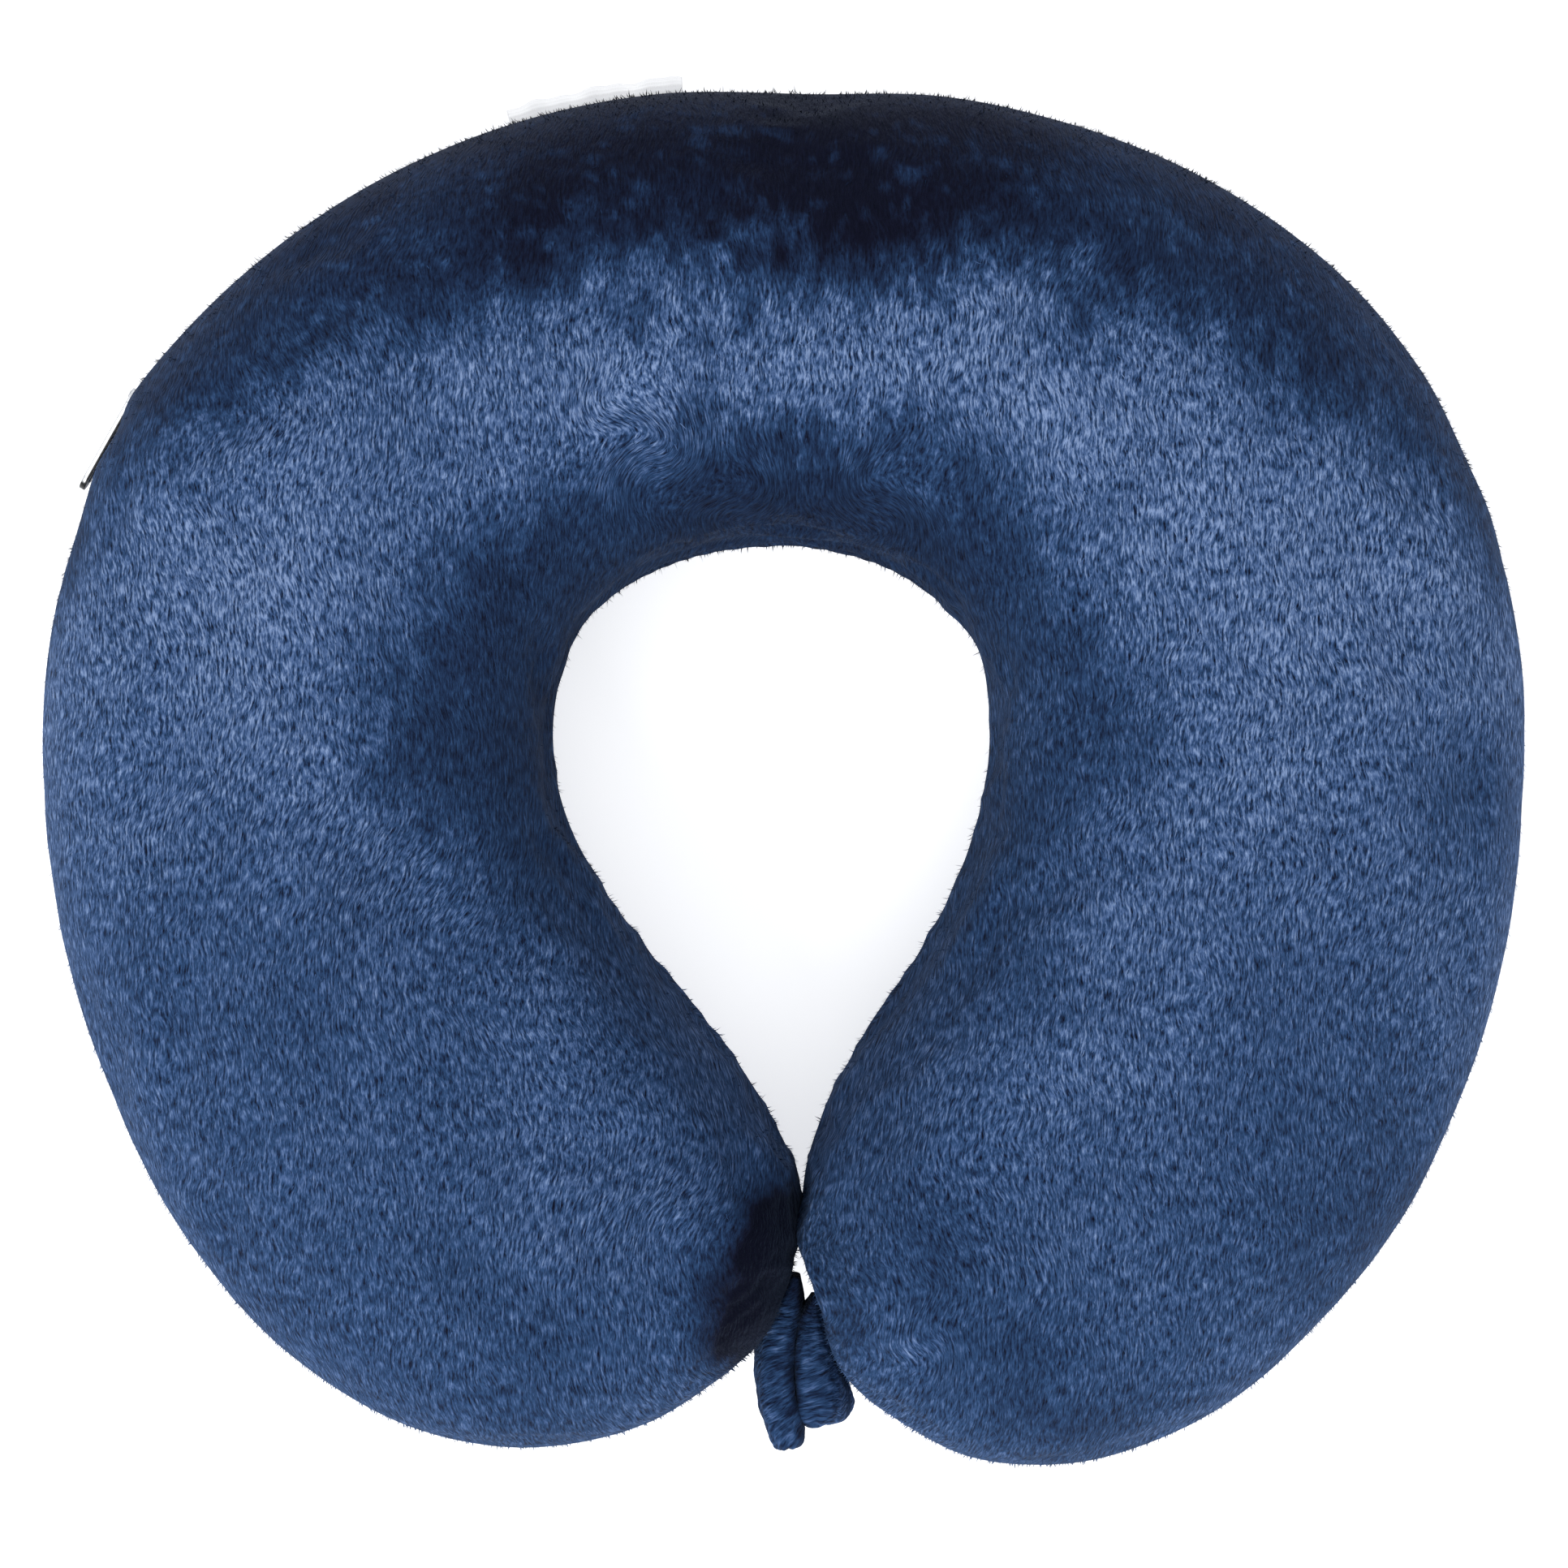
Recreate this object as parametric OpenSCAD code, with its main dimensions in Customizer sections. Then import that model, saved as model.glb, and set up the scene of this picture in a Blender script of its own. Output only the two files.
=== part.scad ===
// U shaped travel neck pillow, lying flat.
// +Z is up, +Y points to the back of the neck, and the arms' tips meet on the -Y side.
// The origin is the middle of the pillow's outline, on the surface that it lies on.

/* [Pillow] */
// Height of the pillow where it is thickest
pillow_h = 100; // [90:1:110]
// How far the round underside is pressed flat where it rests
rest_depth = 2; // [1.6:0.1:3]
// How full the section is, from 1 (square) to 0 (an ellipse)
fullness = 0.12; // [0:0.01:0.2]
// Steps between two stations of the outline
station_steps = 2; // [1:1:3]
// Points around one section
section_points = 24; // [16:4:32]

/* [Layers] */
// Thickness of the plush cover with its pile
cover_t = 3.4; // [2.5:0.1:3.6]
// Depth of the inner liner below the cover's outer surface
liner_depth = 5.4; // [5.2:0.1:6]
// Thickness of the inner liner
liner_t = 0.8; // [0.5:0.1:1]
// Free space between the liner and the foam
liner_gap = 0.2; // [0.1:0.1:0.4]
// Gap between the top and bottom panels at their seam
seam_gap = 0.2; // [0.1:0.1:0.4]

/* [Zip] */
// Radius of the arc that the zip follows around the back
zip_r = 151.5; // [151:0.5:152]
// Open height between the two lips of the cover at the zip
zip_slot_h = 12; // [11.6:0.1:13]
// Width of each half of the zip tape
tape_w = 12; // [10:1:13]
// Thickness of the zip tape
tape_t = 0.4; // [0.3:0.1:0.5]
// Length of the pull bar from its pin to its free end
pull_len = 22; // [18:1:23]
// Width of the pull bar
pull_w = 5.6; // [5:0.1:6]

/* [Closure tabs] */
// Width of each tab
tab_w = 20; // [18:1:22]
// Thickness of each tab
tab_t = 5.2; // [5:0.1:5.4]
// Length of the left tab below its seam
left_tab_len = 19; // [17:1:20]
// Length of the right tab below its seam
right_tab_len = 16.5; // [15:0.5:17.5]
// Radius of the press stud's head
stud_r = 1.9; // [1.7:0.1:2]

/* [Hidden] */

navy = [0.13, 0.22, 0.40];
navy_tape = [0.07, 0.11, 0.20];
steel = [0.80, 0.81, 0.83];
foam_cream = [0.93, 0.89, 0.78];
liner_white = [0.93, 0.93, 0.92];
label_white = [0.96, 0.96, 0.96];
snap_navy = [0.06, 0.09, 0.18];

round_fn = 48;
foam_depth = liner_depth + liner_t + liner_gap;
half_h = pillow_h / 2 + rest_depth / 2;
equator_z = pillow_h - half_h;

// The zip's arc around the back, in degrees from +X about its centre.
zip_centre = [-10, -14.4];
zip_left = 146.5;
zip_right = 84;
zip_stations = 6;
slot_half = zip_slot_h / 2;

// Layers of the zip, measured inwards from the cover's outer surface.
tape_depth = 3.4;
coil_t = 1.3;
coil_half_gap = 0.75;
coil_w = 1.7;
plate_t = 0.6;
front_plate_depth = 1.1;
back_plate_depth = 4.2;

// Stations of the outline: the outer point, the inner point, and the half height there.
function zip_point(deg) = zip_centre + zip_r * [cos(deg), sin(deg)];
function zip_angle(i) = zip_left + (zip_right - zip_left) * i / (zip_stations - 1);

zip_inner = [[-39.7, 31.2], [-32.3, 37.2], [-23.8, 41.6], [-14.6, 44.4], [-5, 45.6], [4.5, 45.5]];
back_stations = concat(
    [[-144.4, 45.6, -43.5, 25.6, half_h]],
    [for (i = [0 : zip_stations - 1])
        let (p = zip_point(zip_angle(i))) [p.x, p.y, zip_inner[i].x, zip_inner[i].y, half_h]],
    [[35, 135.2, 13.5, 43.8, half_h],
     [63, 128.6, 21.5, 40.9, half_h],
     [89, 117, 28.5, 36.6, half_h],
     [112, 100.2, 33.8, 31.6, half_h],
     [128.5, 81, 37.4, 27.6, half_h],
     [138.8, 61, 39.4, 24.6, half_h],
     [144.6, 45.6, 40.4, 22.6, half_h]]);

left_stations = [
    [-144.7, 45.1, -43.8, 25.1, half_h],
    [-149.7, 17.6, -48.2, 9.6, half_h],
    [-149.8, -10.4, -46, -8.4, half_h],
    [-145.8, -36.4, -38.5, -23.4, half_h],
    [-137.8, -62.4, -29.5, -35.9, half_h],
    [-124.5, -90.4, -20, -47.9, half_h],
    [-104.5, -115.4, -11.3, -58.4, half_h - 0.5],
    [-79, -132.4, -5, -67.4, half_h - 1.5],
    [-52, -138, -0.8, -75.4, half_h - 4],
    [-29, -133.4, 1.5, -81.4, half_h - 9],
    [-14, -124.9, 2.6, -87.9, half_h - 17],
    [-5, -116.4, 2.9, -94.4, half_h - 26],
    [-0.5, -108.4, 2.6, -98.9, half_h - 37]];
left_tip = [1.6, -103.4];

right_stations = [
    [144.9, 45.1, 40.7, 22.1, half_h],
    [149.8, 17.6, 42.6, 7.6, half_h],
    [149.6, -10.4, 40.8, -8.4, half_h],
    [146.3, -36.4, 35.8, -23.4, half_h],
    [139, -62.4, 29, -36.4, half_h],
    [126, -90.4, 21.3, -48.4, half_h],
    [107, -114.4, 14.6, -57.9, half_h - 0.5],
    [86, -131.4, 9.8, -65.9, half_h - 1.5],
    [62, -140.6, 6.6, -73.4, half_h - 4],
    [39, -140.2, 4.8, -80.4, half_h - 9],
    [22.5, -132.2, 3.9, -87.4, half_h - 17],
    [12, -122.9, 3.7, -94.4, half_h - 26],
    [6.8, -111.9, 4.2, -98.9, half_h - 37]];
right_tip = [5.6, -105.4];

// Catmull-Rom point between stations b and c, at k from 0 to 1.
function curve(a, b, c, d, k) = 0.5 * (2 * b + (c - a) * k
    + (2 * a - 5 * b + 4 * c - d) * k * k + (3 * b - a - 3 * c + d) * k * k * k);

function at(list, i) = list[max(0, min(len(list) - 1, i))];

function resample(list) = concat(
    [for (i = [0 : len(list) - 2], j = [0 : station_steps - 1])
        curve(at(list, i - 1), list[i], list[i + 1], at(list, i + 2), j / station_steps)],
    [list[len(list) - 1]]);

function unit(v) = v / norm(v);
function outer(s) = [s[0], s[1]];
function inner(s) = [s[2], s[3]];
function squared(c) = sign(c) * pow(abs(c), 1 - fullness);

// Point of the outer surface at station s and angle t, where 0 is the outer edge and 90 the top.
function skin(s, t) = let (
    across = outer(s) - inner(s),
    p = (outer(s) + inner(s)) / 2 + across / 2 * squared(cos(t)),
    z = equator_z + s[4] * squared(sin(t)))
    [p.x, p.y, max(0, z)];

// Outward normal of that surface. Where the section is a cut face the normal stays in its plane.
function skin_normal(rows, i, t) = let (
    a = at(rows, i - 1), b = at(rows, i + 1),
    along = skin(b, t) - skin(a, t),
    around = skin(rows[i], t + 2) - skin(rows[i], t - 2),
    flat = norm(around) < 0.01 ? [0, 0, 1] : around,
    n = unit(cross(flat, along)),
    across = unit(outer(rows[i]) - inner(rows[i])),
    cut = [-across.y, across.x, 0])
    i == 0 || (i == len(rows) - 1 && is_cut_end(rows)) ? unit(n - (n * cut) * cut) : n;

// The back's rows end on a cut face, and an arm's rows end at its round tip.
function is_cut_end(rows) = rows[len(rows) - 1][4] > half_h - 1;

// One point at a given depth below the surface, kept above the flat underside by that depth.
function layer_point(rows, i, t, depth, turn) = let (
    p = skin(rows[i], t) - turn * depth * skin_normal(rows, i, t))
    [p.x, p.y, max(depth, p.z)];

// 1 where these normals point outwards, and -1 where the path runs the other way round.
function turn_of(rows) = skin_normal(rows, 1, 90).z > 0 ? 1 : -1;

function reversed(list) = [for (i = [len(list) - 1 : -1 : 0]) list[i]];
function layer_row(rows, i, angles, depth) = let (turn = turn_of(rows))
    [for (t = angles) layer_point(rows, i, t, depth, turn)];

// The same way round for every path, so that all surfaces face outwards.
function oriented(rows, list) = turn_of(rows) > 0 ? list : reversed(list);

// An arm's tip, moved inwards by a depth.
function tip_point(rows, tip, depth) = is_undef(tip) ? undef : let (
    last = rows[len(rows) - 1],
    before = rows[len(rows) - 1 - station_steps],
    across = unit(outer(last) - inner(last)),
    side = [-across.y, across.x],
    inwards = (outer(before) + inner(before)) / 2 - tip,
    n = side * inwards > 0 ? side : -side)
    [tip.x + depth * n.x, tip.y + depth * n.y, equator_z];

// Closed surface through rows of points, with a flat cap first and either a cap or a tip last.
module loft(rows, tip) {
    n = len(rows[0]);
    m = len(rows);
    points = concat([for (r = rows) each r], is_undef(tip) ? [] : [tip]);
    sides = [for (i = [0 : m - 2], j = [0 : n - 1])
        let (k = (j + 1) % n) each [
            [i * n + j, i * n + k, (i + 1) * n + k],
            [i * n + j, (i + 1) * n + k, (i + 1) * n + j]]];
    // listed from the middle of its outer edge, away from the thin ends of a shell
    first = [[for (j = [n - 1 : -1 : 0]) (j + floor(n / 4)) % n]];
    last = is_undef(tip)
        ? [[for (j = [0 : n - 1]) (m - 1) * n + j]]
        : [for (j = [0 : n - 1]) [(m - 1) * n + j, (m - 1) * n + (j + 1) % n, m * n]];
    polyhedron(points, concat(sides, first, last), convexity = 6);
}

// Solid filling inside the liner.
module core(stations, tip) {
    rows = resample(stations);
    angles = [for (j = [0 : section_points - 1]) 360 * j / section_points];
    loft([for (i = [0 : len(rows) - 1]) oriented(rows, layer_row(rows, i, angles, foam_depth))],
        tip_point(rows, tip, foam_depth));
}

// Thin bag around the core, with its own closing seam left as a slit at the outer edge.
module bag(stations, tip) {
    rows = resample(stations);
    slit = 1;
    angles = [for (j = [0 : section_points]) slit + (360 - 2 * slit) * j / section_points];
    loft([for (i = [0 : len(rows) - 1]) oriented(rows, concat(
            layer_row(rows, i, angles, liner_depth),
            reversed(layer_row(rows, i, angles, liner_depth + liner_t))))],
        tip_point(rows, tip, liner_depth));
}

// Angle at which the section stands a given height above its middle.
function angle_at(s, z) = asin(pow(z / s[4], 1 / (1 - fullness)));

function is_zip_row(i, has_zip) = has_zip && i >= station_steps && i <= zip_stations * station_steps;

// One panel of the cover, from the outer seam over to the inner seam. side is 1 above and -1 below.
module panel(stations, tip, side, has_zip = false) {
    rows = resample(stations);
    steps = section_points / 2;
    loft([for (i = [0 : len(rows) - 1]) let (
            a = angle_at(rows[i], is_zip_row(i, has_zip) ? slot_half : seam_gap / 2),
            b = 180 - angle_at(rows[i], seam_gap / 2),
            angles = [for (j = [0 : steps]) side * (a + (b - a) * j / steps)],
            ring = concat(layer_row(rows, i, angles, 0),
                reversed(layer_row(rows, i, angles, cover_t))))
            oriented(rows, side > 0 ? ring : reversed(ring))],
        is_undef(tip) ? undef : tip_point(rows, tip, 0) + [0, 0, side * seam_gap / 2]);
}

module foam_core_back() { color(foam_cream) core(back_stations); }
module foam_core_left() { color(foam_cream) core(left_stations, left_tip); }
module foam_core_right() { color(foam_cream) core(right_stations, right_tip); }
module liner_back() { color(liner_white) bag(back_stations); }
module liner_left() { color(liner_white) bag(left_stations, left_tip); }
module liner_right() { color(liner_white) bag(right_stations, right_tip); }
module cover_top_back() { color(navy) panel(back_stations, undef, 1, true); }
module cover_top_left() { color(navy) panel(left_stations, left_tip, 1); }
module cover_top_right() { color(navy) panel(right_stations, right_tip, 1); }
module cover_bottom_back() { color(navy) panel(back_stations, undef, -1, true); }
module cover_bottom_left() { color(navy) panel(left_stations, left_tip, -1); }
module cover_bottom_right() { color(navy) panel(right_stations, right_tip, -1); }

// Arc about the zip's centre, at the height of the seam, of a profile with X as its radius.
module zip_arc(from, to) {
    translate([zip_centre.x, zip_centre.y, equator_z]) rotate(from)
        rotate_extrude(angle = to - from, $fn = 240) children();
}

// How far the section has curved inwards at a height above its middle.
section_half_w = 47;
function sag(z) = section_half_w
    * (1 - squared(cos(asin(pow(z / half_h, 1 / (1 - fullness))))));

tape_from = 84.4;
tape_to = 146.1;
tape_half_gap = 1;
// The tape turns in under the lip between these heights below the lip's edge.
turn_from = 1.1;
turn_to = 0.1;
// Its distance inside the cover, at the lip and at its own hidden edge.
lip_gap = 0.8;
hidden_gap = 1.4;
module zip_tape(side) {
    line = [
        [zip_r - tape_depth, tape_half_gap],
        [zip_r - tape_depth, slot_half - turn_from],
        [zip_r - cover_t - lip_gap, slot_half - turn_to],
        [zip_r - cover_t - hidden_gap - sag(tape_w), tape_w]];
    color(navy_tape) zip_arc(tape_from, tape_to) scale([1, side])
        polygon(concat(line, reversed([for (p = line) p - [tape_t, 0]])));
}
module zip_tape_upper() { zip_tape(1); }
module zip_tape_lower() { zip_tape(-1); }

coil_from = 85.9;
coil_to = 145;
module zip_coil(side) {
    color(navy_tape) zip_arc(coil_from, coil_to) scale([1, side])
        translate([zip_r - tape_depth, coil_half_gap]) square([coil_t, coil_w]);
}
module zip_coil_upper() { zip_coil(1); }
module zip_coil_lower() { zip_coil(-1); }

// Crimped metal stops: one on each tape where the zip closes, and one across both where it opens.
stop_arc = 0.6;
stop_gap = 0.1;
stop_t = coil_t + 0.1;
stop_w = coil_w + 0.2;
module zip_top_stops() {
    color(steel) for (side = [1, -1])
        zip_arc(coil_to + stop_gap, coil_to + stop_gap + stop_arc) scale([1, side])
            translate([zip_r - tape_depth, coil_half_gap]) square([stop_t, stop_w]);
}
module zip_bottom_stop() {
    half_w = coil_half_gap + stop_w;
    color(steel) zip_arc(coil_from - stop_gap - stop_arc, coil_from - stop_gap)
        translate([zip_r - tape_depth, -half_w]) square([stop_t, 2 * half_w]);
}

// The slider sits at its closed end, and its pull hangs on a pin between two ears.
slider_at = 142.6;
slider_arc = 3.8;
slider_half_w = 4.2;
flange_t = 0.8;
flange_reach = 1.8;
post_half_w = 0.45;
post_from = slider_at + 1.2;
post_arc = 0.5;
pin_r = 0.45;
pin_lift = 0.15;
pin_at = slider_at + 1;
ear_t = 0.8;
ear_half_arc = 0.4;
ear_wall = 0.2;
pull_eye_r = 0.9;
module zip_slider() {
    front = zip_r - front_plate_depth;
    color(steel) {
        zip_arc(slider_at - slider_arc / 2, slider_at + slider_arc / 2) {
            translate([front - plate_t, -slider_half_w]) square([plate_t, 2 * slider_half_w]);
            translate([zip_r - back_plate_depth - plate_t, -slider_half_w])
                square([plate_t, 2 * slider_half_w]);
            for (side = [1, -1]) scale([1, side])
                translate([front - flange_reach, slider_half_w - flange_t])
                    square([flange_reach, flange_t]);
        }
        // the post joins the two plates between the coils
        zip_arc(post_from, post_from + post_arc)
            translate([zip_r - back_plate_depth - plate_t, -post_half_w])
                square([back_plate_depth - front_plate_depth + plate_t, 2 * post_half_w]);
        for (side = [1, -1])
            zip_arc(pin_at - ear_half_arc, pin_at + ear_half_arc) scale([1, side])
                translate([front - plate_t, slider_half_w - ear_t])
                    square([plate_t + front_plate_depth + pin_lift + pin_r + ear_wall, ear_t]);
        translate(concat(zip_centre + (zip_r + pin_lift) * [cos(pin_at), sin(pin_at)], equator_z))
            cylinder(r = pin_r, h = 2 * slider_half_w, center = true, $fn = round_fn);
    }
}

// Flat bar with an eye for the pin and a long hole near its free end.
pull_angle = 240.5;
pull_t = 1.2;
pull_hole_w = 2.2;
pull_hole_l = 7;
running_gap = 0.06;
module zip_pull() {
    at_pin = zip_centre + (zip_r + pin_lift) * [cos(pin_at), sin(pin_at)];
    color(steel) translate(concat(at_pin, equator_z)) rotate(pull_angle)
        difference() {
            union() {
                cylinder(r = pull_eye_r, h = pull_w, center = true, $fn = round_fn);
                translate([0, -pull_t / 2, -pull_w / 2]) cube([pull_len - pull_w / 2, pull_t, pull_w]);
                translate([pull_len - pull_w / 2, 0, 0]) rotate([90, 0, 0])
                    cylinder(d = pull_w, h = pull_t, center = true, $fn = round_fn);
            }
            cylinder(r = pin_r + running_gap, h = 2 * pull_w, center = true, $fn = round_fn);
            translate([pull_len - pull_w / 2, 0, 0]) rotate([90, 0, 0]) {
                cylinder(d = pull_hole_w, h = 2 * pull_t, center = true, $fn = round_fn);
                translate([-pull_hole_l / 2, 0, 0])
                    cube([pull_hole_l, pull_hole_w, 2 * pull_t], center = true);
                translate([-pull_hole_l, 0, 0])
                    cylinder(d = pull_hole_w, h = 2 * pull_t, center = true, $fn = round_fn);
            }
        }
}

// Blank woven label, sewn between the lower lip and the tape, that hangs out over the lip.
label_from = 94;
label_to = 107.5;
label_t = 0.35;
label_root = [-3, -5.1];
label_bend = [1, -5.3];
label_end = [4.5, -9];
module care_label() {
    under = [label_root - [0, label_t], label_bend - [label_t / 2, label_t],
        label_end - [label_t, label_t / 2]];
    color(label_white) zip_arc(label_from, label_to) translate([zip_r, 0])
        polygon(concat([label_root, label_bend, label_end], reversed(under)));
}

// Sewn-in end of each tab, in the narrow space between the two tips.
root_w = tab_w - 2;
module tab_root(outline) {
    translate([0, 0, equator_z - root_w / 2]) linear_extrude(root_w) polygon(outline);
}
module left_tab_root() {
    color(navy) tab_root([[2.5, -105.2], [3.5, -106.4], [2.9, -113], [0.9, -118.1], [-4.6, -118.7],
        [-3.2, -116.4], [0.9, -109]]);
}
module right_tab_root() {
    color(navy) tab_root([[4.3, -108.6], [5.2, -108.6], [6, -112.2], [7.9, -117.1], [3.3, -118.2],
        [3.4, -113]]);
}

// Places a tab: its pivot, the way that it slants, and 1 or -1 for the side its inner face is on.
left_pivot = [-4.6, -119.2];
left_slant = 6;
right_pivot = [8.5, -117.8];
right_slant = 12;
snap_y = -9.4;
module at_left() { translate(concat(left_pivot, equator_z)) rotate(left_slant) children(); }
module at_right() {
    translate(concat(right_pivot, equator_z)) rotate(right_slant) mirror([1, 0, 0]) children();
}
// Places a snap half with its axis along +Z, up from the tab's inner face.
module on_inner_face() { translate([tab_t, snap_y, 0]) rotate([0, 90, 0]) children(); }

cap_r = 5;
cap_t = 0.8;
cap_sunk = 2;
prong_r = 0.75;
prong_proud = 0.5;
prong_hole_r = 1.1;
pocket_gap = 0.1;
// Flat strap with a round end, cut straight at its seam.
module strap(length) {
    difference() {
        rotate([0, 90, 0]) linear_extrude(tab_t) {
            translate([-tab_w / 2, tab_w / 2 - length]) square([tab_w, length]);
            translate([0, tab_w / 2 - length]) circle(d = tab_w, $fn = round_fn);
        }
        translate([-tab_t, 0, -tab_w]) cube([3 * tab_t, length, 2 * tab_w]);
    }
}
module tab(length) {
    difference() {
        strap(length);
        on_inner_face() {
            translate([0, 0, -cap_sunk - cap_t - pocket_gap])
                cylinder(r = cap_r + pocket_gap, h = cap_t + 2 * pocket_gap, $fn = round_fn);
            translate([0, 0, -cap_sunk]) cylinder(r = prong_hole_r, h = 2 * cap_sunk, $fn = round_fn);
        }
    }
}
module left_tab() { color(navy) at_left() tab(left_tab_len); }
module right_tab() { color(navy) at_right() tab(right_tab_len); }

// Round cap inside a tab, whose prong goes through the inner ply into the stud or the socket.
module snap_cap() {
    on_inner_face() translate([0, 0, -cap_sunk - cap_t]) {
        cylinder(r = cap_r, h = cap_t, $fn = round_fn);
        cylinder(r = prong_r, h = cap_t + cap_sunk + prong_proud, $fn = round_fn);
    }
}
module snap_stud_cap() { color(snap_navy) at_left() snap_cap(); }
module snap_socket_cap() { color(snap_navy) at_right() snap_cap(); }

snap_flange_r = 4.6;
snap_flange_t = 0.7;
stud_h = 1.7;
socket_h = 1.5;
socket_floor = 0.6;
socket_r = stud_r + 0.15;

// Hole for a cap's prong, from just below a snap half's seat to just past the prong's end.
module prong_hole() {
    translate([0, 0, -pocket_gap])
        cylinder(r = prong_r + running_gap, h = prong_proud + 3 * pocket_gap, $fn = round_fn);
}
module snap_stud() {
    color(snap_navy) at_left() on_inner_face() difference() {
        union() {
            cylinder(r = snap_flange_r, h = snap_flange_t, $fn = round_fn);
            cylinder(r = stud_r, h = stud_h, $fn = round_fn);
        }
        prong_hole();
    }
}
module snap_socket() {
    color(snap_navy) at_right() on_inner_face() difference() {
        cylinder(r = snap_flange_r, h = socket_h, $fn = round_fn);
        translate([0, 0, socket_floor]) cylinder(r = socket_r, h = socket_h, $fn = round_fn);
        prong_hole();
    }
}

foam_core_back();
foam_core_left();
foam_core_right();
liner_back();
liner_left();
liner_right();
cover_top_back();
cover_top_left();
cover_top_right();
cover_bottom_back();
cover_bottom_left();
cover_bottom_right();
zip_tape_upper();
zip_tape_lower();
zip_coil_upper();
zip_coil_lower();
zip_top_stops();
zip_bottom_stop();
zip_slider();
zip_pull();
care_label();
left_tab_root();
right_tab_root();
left_tab();
right_tab();
snap_stud();
snap_stud_cap();
snap_socket();
snap_socket_cap();
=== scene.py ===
"""Looks of the U shaped plush travel pillow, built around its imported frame. Lengths are in metres."""

import math

import bpy
import numpy as np
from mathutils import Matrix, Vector


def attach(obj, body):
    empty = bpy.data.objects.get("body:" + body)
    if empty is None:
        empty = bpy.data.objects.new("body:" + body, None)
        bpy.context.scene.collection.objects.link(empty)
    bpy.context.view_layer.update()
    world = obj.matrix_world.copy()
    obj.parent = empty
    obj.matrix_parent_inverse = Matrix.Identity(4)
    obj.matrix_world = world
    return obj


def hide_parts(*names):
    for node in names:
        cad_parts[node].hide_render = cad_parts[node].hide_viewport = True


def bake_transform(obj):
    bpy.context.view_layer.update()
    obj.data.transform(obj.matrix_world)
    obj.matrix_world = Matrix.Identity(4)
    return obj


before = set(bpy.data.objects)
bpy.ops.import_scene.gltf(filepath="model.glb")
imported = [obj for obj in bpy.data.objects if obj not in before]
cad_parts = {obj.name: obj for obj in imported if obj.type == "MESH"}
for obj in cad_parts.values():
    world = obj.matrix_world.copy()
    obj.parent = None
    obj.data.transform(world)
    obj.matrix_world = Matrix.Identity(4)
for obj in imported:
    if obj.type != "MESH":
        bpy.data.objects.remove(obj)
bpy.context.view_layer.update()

MM = 0.001
TURN = 2 * math.pi

# ---- shape of the pillow

# Stations along the pillow, from an arm's tip up to its shoulder, in millimetres: the outer point,
# the inner point, and how much lower than the full height the section is there.
LEFT_ARM = [
    (1.6, -103.4, 1.6, -103.4, 51), (-0.5, -108.4, 2.1, -98.9, 37),
    (-5, -116.4, 2.85, -94.4, 26), (-14, -124.9, 3.35, -87.9, 17),
    (-29, -133.4, 2.3, -81.6, 9), (-52, -138, -0.4, -75.4, 4),
    (-79, -132.4, -5, -67.4, 1.5), (-104.5, -115.4, -11.3, -58.4, 0.5),
    (-124.5, -90.4, -20, -47.9, 0), (-137.8, -62.4, -29.5, -35.9, 0),
    (-145.8, -36.4, -38.5, -23.4, 0), (-149.8, -10.4, -46, -8.4, 0),
    (-149.7, 17.6, -48.2, 9.6, 0), (-144.5, 45.4, -43.6, 25.4, 0),
]
RIGHT_ARM = [
    (7.2, -105.6, 7.2, -105.6, 51), (7.9, -111.9, 5.9, -100.2, 37),
    (12, -122.9, 2.6, -94.4, 26), (22.5, -132.2, 3.6, -87.4, 17),
    (39, -140.2, 4.6, -80.6, 9), (62, -140.6, 6.8, -73.4, 4),
    (86, -131.4, 9.8, -65.9, 1.5), (107, -114.4, 14.6, -57.9, 0.5),
    (126, -90.4, 21.3, -48.4, 0), (139, -62.4, 29, -36.4, 0),
    (146.3, -36.4, 35.8, -23.4, 0), (149.6, -10.4, 40.8, -8.4, 0),
    (149.8, 17.6, 42.6, 7.6, 0), (144.7, 45.4, 40.5, 22.4, 0),
]
RIGHT_SHOULDER = [
    (138.8, 61, 39.4, 24.6, 0), (128.5, 81, 37.4, 27.6, 0),
    (112, 100.2, 33.8, 31.6, 0), (89, 117, 28.5, 36.6, 0),
    (63, 128.6, 21.5, 40.9, 0), (35, 135.2, 13.5, 43.8, 0),
]
# Around the back the outer points follow the zip's arc.
ZIP_CENTRE = np.array([-10, -14.4])
ZIP_R = 151.5
ZIP_LEFT, ZIP_RIGHT = 146.5, 84.0
ZIP_INNER = [(-39.7, 31.2), (-32.3, 37.2), (-23.8, 41.6), (-14.6, 44.4), (-5, 45.6), (4.5, 45.5)]

HALF_H = 51.0
EQUATOR = 49.0
FULLNESS = 0.12
FLOOR_SOFTNESS = 1.6
LOWEST = 0.05
SLOT_HALF = 6.0
SEAM_HALF_GAP = 0.1
PATH_COUNT = 620
AROUND_COUNT = 150
TAPE_DEPTH = 3.4
TAPE_FROM, TAPE_TO = 84.4, 146.1
TAPE_END = 0.5
# The neck opening's corners are rounded by this much, and not at the arms' tips.
CORNER_SOFTNESS = 32.0
CORNERS_FROM_Y = (-60, -20)
MEASURE_STEPS = 6000
# The slot closes over this many degrees past the zip's ends.
SLOT_TAPER = 4


def zip_station(i):
    angle = math.radians(ZIP_LEFT + (ZIP_RIGHT - ZIP_LEFT) * i / (len(ZIP_INNER) - 1))
    outer = ZIP_CENTRE + ZIP_R * np.array([math.cos(angle), math.sin(angle)])
    return (*outer, *ZIP_INNER[i], 0)


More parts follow.
